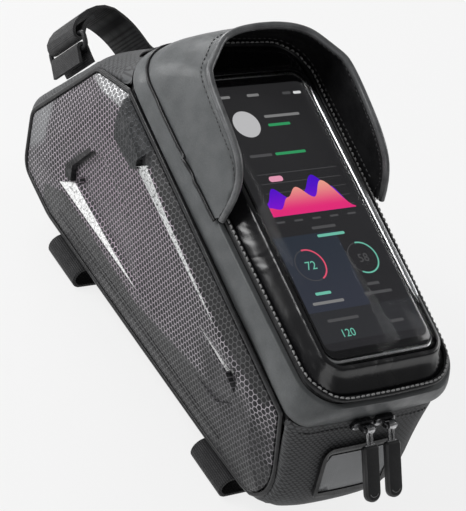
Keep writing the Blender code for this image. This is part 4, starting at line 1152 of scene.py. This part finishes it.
@dataclass
class Hood:
    """The sun hood over the window's front, with its hem and seams."""

    inside: tuple[float, float, float] = (0.0, 125.0, 12.0)
    middle_y: float = 84.0
    half_turn: float = math.radians(100)
    edge_parts: int = 90
    foot_parts: int = 60
    foot_level: float = -9.1
    seam_inset: float = 3.2
    lining_inset: float = 3.8
    seam_reach: float = 4.0
    inner_rise: float = 4.5
    hem_swell: float = 0.75
    welt_reach: float = 1.4
    welt_rise: float = 0.4
    welt_radius: float = 0.95
    welt_pitch: float = 3.0

    def from_inside(self, p: Vector, reach: float, rise: float = 0.0) -> Vector:
        """Returns a place moved away from the hood's inside and up, all in the lid's frame."""
        away = Vector((p.x, p.y - self.inside[1], 0)).normalized()
        return LID.place(*(p + away * reach + Vector((0, 0, rise))))

    def build(self) -> None:
        """Makes the hood."""
        hood = refined("visor", "hood_wall", (VINYL, HOOD_INSIDE), "lid", "lid_vinyl", 1, 50,
                       move=ripple(45, 0.22, 5.0))
        middle = LID.place(*self.inside)
        for face in hood.data.polygons:
            face.material_index = 1 if face.normal.dot(middle - face.center) > 0 else 0
        hem = refined("visor_hem", "hood_edge_roll", (HEM,), "lid", "piping_trim", 1, 80,
                      move=swell(self.hem_swell))
        centre, turns = Vector((0, self.middle_y, 0)), (-self.half_turn, self.half_turn)
        edge = polar_line(lid_points("visor_hem", lambda p: True), centre, self.edge_parts, *turns)
        low = lid_points("visor", lambda p: p.z < self.foot_level)
        foot = polar_line(low, centre, self.foot_parts, *turns)
        surface = Surface("visor")
        rows = {"hood_outer_seam": (self.seam_inset, 1), "hood_lining_seam": (self.lining_inset, -1)}
        for name, (inset, out) in rows.items():
            path = []
            for p in edge:
                down = (min(foot, key=lambda f: (f - p).length) - p).normalized()
                away = Vector((p.x, p.y - self.inside[1], 0)).normalized()
                path.append(LID.place(*(p + down * inset + away * self.seam_reach * out)))
            stitch_row(name, path[1:-1], surface, "lid", "lid_vinyl", 2.9, 0.62, 0.26)
        inner = [self.from_inside(p, -self.seam_reach, self.inner_rise) for p in foot]
        stitch_row("hood_inner_seam", inner[1:-1], surface, "lid", "lid_vinyl", 3.0, 0.66, 0.36)
        welt = bmesh.new()
        line = [self.from_inside(p, self.welt_reach, self.welt_rise) for p in foot]
        sweep(welt, resample(line, self.welt_pitch * MM), self.welt_radius * MM, 8, up=LID.up())
        finish_piece("hood_base_welt", welt, (TRIM,), "lid", "piping_trim", 60)
        log.info("hood: %d faces, hem %d", len(hood.data.polygons), len(hem.data.polygons))


@dataclass
class Phone:
    """The phone in the pocket, with a generic screen of plain fields, bars and dials."""

    half: float = 29.9
    low: float = 6.0
    high: float = 149.5
    glass_top: float = 0.02
    layer: float = 0.035
    layer_thick: float = 0.025
    number_rise: float = 0.17
    dial_steps: int = 28
    dial_radius: float = 8.2
    dial_y: float = 50.0
    disc: tuple[float, float, float] = (-14.0, 128.0, 7.4)
    rail: tuple[float, float, float] = (33.2, 20.0, 0.75)
    rail_pitch: float = 4.0
    rail_points: int = 33
    rail_radius: float = 1.7

    def patch(self, name: str, outline: Outline, level: float, finish: ScreenFinish) -> None:
        """Lays a flat patch on the glass.

        Args:
            name: the piece's name.
            outline: its corners (x, y) in mm in the lid's frame, the second half going back beside the first.
            level: how many layers over the glass it lies.
            finish: its finish.
        """
        build = bmesh.new()
        foot = self.glass_top + self.layer * level
        heights = (foot, foot + self.layer_thick)
        rows = [[build.verts.new(LID.place(x, y, z)) for x, y in outline] for z in heights]
        count = len(outline)
        for k in range(count):
            j = (k + 1) % count
            build.faces.new((rows[0][k], rows[0][j], rows[1][j], rows[1][k]))
        for row in rows:
            for k in range(count // 2 - 1):
                build.faces.new((row[k], row[k + 1], row[count - 2 - k], row[count - 1 - k]))
        bmesh.ops.recalc_face_normals(build, faces=build.faces)
        finish_piece("screen_" + name, build, (finish,), "lid", "phone_glass", 30)

    def box(self, x: float, y: float, width: float, height: float, corner: float = 0.0) -> Outline:
        """Returns a rectangle's outline from its lower left corner, its corners rounded."""
        if corner <= 0:
            return [(x, y), (x + width, y), (x + width, y + height), (x, y + height)]
        found = []
        near_x, far_x, near_y, far_y = x + corner, x + width - corner, y + corner, y + height - corner
        for k, (cx, cy) in enumerate(((far_x, near_y), (far_x, far_y), (near_x, far_y), (near_x, near_y))):
            found += self.arc(cx, cy, corner, 90.0 * k - 90.0, 90.0, 4)
        return found

    def arc(self, x: float, y: float, radius: float, start: float, turn: float, steps: int) -> Outline:
        """Returns points on an arc round a middle, its angles in degrees."""
        angles = [math.radians(start + turn * k / steps) for k in range(steps + 1)]
        return [(x + radius * math.cos(t), y + radius * math.sin(t)) for t in angles]

    def dial(self, x: float, start: float, turn: float, thick: float) -> Outline:
        """Returns the outline of an arc of a dial, its angles in degrees."""
        outer, inner = (self.arc(x, self.dial_y, self.dial_radius + reach, start, turn, self.dial_steps)
                        for reach in (thick / 2, -thick / 2))
        return outer + inner[::-1]

    def numeral(self, name: str, text: str, x: float, y: float, size: float, finish: ScreenFinish) -> None:
        """Sets a dial's plain number on the screen."""
        curve = bpy.data.curves.new(name, "FONT")
        curve.body = text
        curve.size = size * MM
        curve.align_x = curve.align_y = "CENTER"
        holder = new_object(name, curve)
        build = bmesh.new()
        build.from_mesh(evaluated_mesh(holder))
        bpy.data.objects.remove(holder)
        level = self.glass_top + self.number_rise
        for vertex in build.verts:
            vertex.co = LID.place(x + vertex.co.x / MM, y + vertex.co.y / MM, level)
        finish_piece("screen_" + name, build, (finish,), "lid", "phone_glass", 30)

    def wave(self, points: Outline, base: float) -> Outline:
        """Returns the outline under a smooth curve through points, down to a base."""
        curve = []
        for (x0, y0), (x1, y1) in zip(points, points[1:]):
            for k in range(8):
                t = k / 8
                curve.append((x0 + (x1 - x0) * t, y0 + (y1 - y0) * t * t * (3 - 2 * t)))
        curve.append(points[-1])
        return [(x, base) for x, _ in curve] + curve[::-1]

    def build(self) -> None:
        """Makes the phone's finishes and its screen."""
        refined("phone_frame", "phone_case_rim", (SILVER,), "lid", "phone_frame", 0, bevel=0.25, sharp=30)
        refined("phone_glass", "phone_front", (GLASS,), "lid", "phone_glass", 0, bevel=0.2, sharp=30)
        ground = ScreenFinish("screen_ground", (0.014, 0.014, 0.016), (0.02, 0.02, 0.021), Shade.FADING,
                              -0.07, 0.07)
        card = ScreenFinish("screen_card", (0.028, 0.033, 0.05), (0.02, 0.028, 0.042), Shade.FADING,
                            -0.05, -0.01)
        band = ScreenFinish("screen_band", (0.022, 0.023, 0.026))
        grey = ScreenFinish("screen_grey", (0.22, 0.22, 0.22))
        dim = ScreenFinish("screen_dim", (0.075, 0.075, 0.078))
        white = ScreenFinish("screen_white", (0.75, 0.76, 0.76))
        green = ScreenFinish("screen_green", (0.03, 0.33, 0.12))
        teal = ScreenFinish("screen_teal", (0.16, 0.55, 0.42))
        rose = ScreenFinish("screen_rose", (0.8, 0.09, 0.17))
        violet = ScreenFinish("screen_violet", (0.22, 0.0, 0.68), (0.07, 0.0, 0.62), Shade.FADING,
                              0.0, 0.018)
        pink = ScreenFinish("screen_pink", (0.84, 0.02, 0.2), (0.92, 0.42, 0.3), Shade.FADING, 0.002, 0.019)
        peach = ScreenFinish("screen_peach", (0.85, 0.35, 0.5))
        pale = ScreenFinish("screen_pale", (0.55, 0.55, 0.56))
        width = self.half * 2
        self.patch("ground", self.box(-self.half, self.low, width, self.high - self.low, 4.0), 0, ground)
        self.patch("card", self.box(-self.half, 26.0, 36.0, 40.0), 1, card)
        self.patch("band", self.box(-self.half, self.low + 4, width, 16.0), 1, band)
        for k in range(5):
            self.patch(f"grid_{k}", self.box(-22.0, 79.0 + 5.2 * k, 47.0, 0.28), 1, dim)
            self.patch(f"tick_{k}", self.box(-24.0 + 10.5 * k, 73.4, 5.0, 1.0, 0.4), 1, dim)
        back = [(-24.0, 84.5), (-17.5, 92.0), (-10.0, 86.0), (-1.0, 88.5), (8.0, 97.0), (16.0, 90.0),
                (23.5, 78.4)]
        front = [(-24.0, 82.0), (-18.0, 80.5), (-11.0, 86.5), (-4.0, 91.5), (4.0, 85.0), (12.0, 93.5),
                 (25.0, 77.6)]
        self.patch("rear_wave", self.wave(back, 77.0), 2, violet)
        self.patch("front_wave", self.wave(front, 77.0), 3, pink)
        self.patch("marker", self.box(-16.5, 95.5, 8.0, 3.0, 1.4), 3, peach)
        self.patch("disc", self.arc(*self.disc, 0.0, 348.0, 29), 2, pale)
        for k, (x, y, w, finish) in enumerate((
                (-2.0, 130.5, 21.0, grey), (-2.0, 125.6, 13.0, green), (-21.0, 109.5, 13.0, dim),
                (-6.0, 109.5, 18.0, green), (-6.0, 68.0, 14.0, dim), (-5.0, 63.6, 16.0, teal),
                (-21.5, 34.4, 9.0, teal), (-25.5, 29.6, 18.0, grey), (9.5, 35.4, 7.0, dim),
                (5.5, 30.6, 16.0, dim), (-22.0, 20.2, 18.0, dim), (12.0, 15.0, 8.0, dim),
                (-24.0, 143.0, 8.0, grey), (-6.0, 143.0, 7.0, grey), (15.0, 142.6, 5.0, dim),
                (21.5, 142.4, 4.6, white))):
            self.patch(f"bar_{k}", self.box(x, y, w, 1.5, 0.6), 2, finish)
        for x, colour, start, turn, name in (
                (-16.5, rose, 100, -165, "left"), (14.5, teal, 95, -215, "right")):
            self.patch("dial_ring_" + name, self.dial(x, 0, 359.5, 0.35), 2, dim)
            self.patch("dial_arc_" + name, self.dial(x, start, turn, 0.75), 3, colour)
        self.numeral("dial_number_left", "72", -16.5, 49.6, 6.2, teal)
        self.numeral("dial_number_right", "58", 14.5, 49.6, 6.2, dim)
        self.numeral("band_number", "120", -14.0, 13.6, 5.6, teal)
        build = bmesh.new()
        x, y, z = self.rail
        line = [LID.place(x, y + self.rail_pitch * k, z) for k in range(self.rail_points)]
        radius = self.rail_radius * MM
        sweep(build, line, lambda t: radius * min(1.0, 0.1 + 12 * t, 0.1 + 12 * (1 - t)), 8, up=LID.up(),
              flat=0.35)
        finish_piece("phone_side_rail", build, (SILVER,), "lid", "phone_frame", 30)
        log.info("phone: screen laid on the glass")


@dataclass
class Webbing:
    """The straps and the ring that tie the bag down."""

    def build(self) -> None:
        """Makes the strap loops, the front strap, its anchor and ring."""
        for node, name, finish, bevel in (
                ("strap_loop_front", "web_loop_front", LOOP_WEB, 0.3),
                ("strap_loop_rear", "web_loop_rear", LOOP_WEB, 0.3),
                ("front_strap", "front_web_strap", FRONT_WEB, 0.25),
                ("front_anchor", "front_web_anchor", FRONT_WEB, 0.25)):
            refined(node, name, (finish,), "bag", "strap_webbing", 1, 60, bevel=bevel)
        refined("front_ring", "strap_ring", (RING,), "bag", "ring_plastic", 1, 80)
        log.info("webbing: four straps and a ring")


@dataclass
class ZipPulls:
    """The sliders, their links and rubber tabs, each with a small raised arc (mm, degrees)."""

    mark_half: float = 2.6
    mark_height: float = 2.0
    mark_level: float = 5.6
    mark_start: float = 205.0
    mark_turn: float = 130.0
    mark_steps: int = 12
    mark_radius: float = 0.22

    def build(self) -> None:
        """Makes both sliders and pulls."""
        for label in ("left", "right"):
            for node, name, finish, body, slot, bevel in (
                    ("slider_", "zip_slider_", BLACK_METAL, "slider_", "zip_metal", 0.35),
                    ("pull_link_", "zip_link_", BRIGHT_METAL, "pull_", "zip_metal", 0.2),
                    ("pull_tab_", "zip_tab_", RUBBER, "pull_", "pull_rubber", 0.5)):
                refined(node + label, name + label, (finish,), body + label, slot, 0, bevel=bevel, sharp=28)
            self.mark(label)
        log.info("zip pulls: two")

    def mark(self, label: str) -> None:
        """Makes the small raised arc near a tab's end."""
        low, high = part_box("pull_tab_" + label)
        surface = Surface("pull_tab_" + label)
        middle_x = (low.x + high.x) / 2
        build = bmesh.new()
        line = []
        for k in range(self.mark_steps + 1):
            turn = math.radians(self.mark_start + self.mark_turn * k / self.mark_steps)
            x = middle_x + self.mark_half * MM * math.cos(turn)
            z = low.z + (self.mark_level + self.mark_height * math.sin(turn)) * MM
            found = surface.hit(Vector((x, low.y - 0.02, z)), Vector((0, 1, 0)))
            if found:
                line.append(found[0])
        sweep(build, line, self.mark_radius * MM, 6, up=Vector((0, -1, 0)), flat=0.8)
        finish_piece("tab_mark_" + label, build, (RUBBER_RAISED,), "pull_" + label, "pull_rubber", 60)


@dataclass
class Studio:
    """The camera, the pale floor and the soft lamps."""

    lens: float = 154.99
    place: tuple[float, float, float] = (-0.62998, -0.59382, 0.68542)
    right: tuple[float, float, float] = (0.801112, -0.504012, 0.322788)
    over: tuple[float, float, float] = (0.116442, 0.660258, 0.741957)
    back: tuple[float, float, float] = (-0.587079, -0.556804, 0.587629)
    floor_level: float = -13.65
    floor_size: float = 6.0
    pale: Colour = (0.93, 0.93, 0.93)
    shadow_share: float = 0.12
    ambient: float = 0.13
    aim: tuple[float, float, float] = (0.0, 0.01, 0.06)

    def camera(self) -> None:
        """Makes the camera of the photograph's view."""
        data = bpy.data.cameras.new("view")
        data.lens = self.lens
        made = new_object("view", data)
        turn = Matrix((self.right, self.over, self.back)).transposed().to_4x4()
        made.matrix_world = Matrix.Translation(self.place) @ turn
        bpy.context.scene.camera = made

    def pale_share(self, net: Net) -> bpy.types.NodeSocket:
        """Returns 1 for rays from the camera or by gloss or glass, and 0 for the light on the object."""
        path = net.node("ShaderNodeLightPath")
        seen = net.math("MAXIMUM", path.outputs["Is Camera Ray"], path.outputs["Is Glossy Ray"])
        return net.math("MAXIMUM", seen, path.outputs["Is Transmission Ray"])

    def floor(self) -> None:
        """Makes the floor, which shows the background's colour and a faint shadow."""
        build = bmesh.new()
        bmesh.ops.create_grid(build, x_segments=1, y_segments=1, size=self.floor_size)
        made = mesh_object("floor", build)
        made.location.z = self.floor_level * MM
        look = bpy.data.materials.new("pale_floor")
        look.use_nodes = True
        net = Net(look.node_tree)
        look.node_tree.nodes.clear()
        plain = net.node("ShaderNodeBsdfDiffuse", {"Color": (0.9, 0.9, 0.9, 1.0)}).outputs[0]
        glow = net.node("ShaderNodeEmission", {"Color": (*self.pale, 1.0)}).outputs[0]
        share = net.math("MULTIPLY", self.pale_share(net), 1.0 - self.shadow_share)
        mixed = net.node("ShaderNodeMixShader", {0: share, 1: plain, 2: glow}).outputs[0]
        net.node("ShaderNodeOutputMaterial", {"Surface": mixed})
        made.data.materials.append(look)

    def world(self) -> None:
        """Makes the even light from all round, and the pale background."""
        made = bpy.data.worlds.new("studio")
        made.use_nodes = True
        net = Net(made.node_tree)
        made.node_tree.nodes.clear()
        soft, pale = (net.node("ShaderNodeBackground", {"Color": (*colour, 1.0), "Strength": power})
                      for colour, power in (((1.0, 1.0, 1.0), self.ambient), (self.pale, 1.0)))
        path = net.node("ShaderNodeLightPath")
        seen = net.math("MAXIMUM", path.outputs["Is Camera Ray"], path.outputs["Is Transmission Ray"])
        feeds = {0: seen, 1: soft.outputs[0], 2: pale.outputs[0]}
        mixed = net.node("ShaderNodeMixShader", feeds).outputs[0]
        net.node("ShaderNodeOutputWorld", {"Surface": mixed})
        bpy.context.scene.world = made

    def lamp(self, name: str, place: tuple[float, float, float], size: float, power: float) -> None:
        """Makes a square soft lamp that faces the bag.

        Args:
            name: the lamp's name.
            place: where it stands, in metres.
            size: length of its side, in metres.
            power: its power in watts.
        """
        data = bpy.data.lights.new(name, "AREA")
        data.shape = "SQUARE"
        data.size = size
        data.energy = power
        made = new_object(name, data)
        made.location = place
        aim = Vector(self.aim) - Vector(place)
        made.rotation_euler = aim.to_track_quat("-Z", "Y").to_euler()

    def build(self) -> None:
        """Makes the camera, floor, background and lamps."""
        self.camera()
        self.floor()
        self.world()
        self.lamp("key", (-0.75, 0.35, 0.85), 0.5, 7.5)
        self.lamp("front_rim", (0.1, 0.9, 0.55), 0.4, 4.0)
        self.lamp("fill", (-0.5, -0.9, 0.35), 0.7, 1.8)
        self.lamp("side", (-0.65, 0.9, 0.2), 0.5, 6.0)
        self.lamp("right_rim", (0.95, -0.1, 0.5), 0.5, 3.0)
        bpy.context.scene.view_settings.view_transform = "Standard"
        log.info("studio: camera, floor and five lamps")


def main() -> None:
    """Builds the studio and the bag's pieces in order."""
    for part in (Studio(), SideShells(), GussetPanel(), PhoneLid(), Hood(), Phone(), Webbing(), ZipPulls()):
        part.build()


if __name__ == "__main__":
    main()
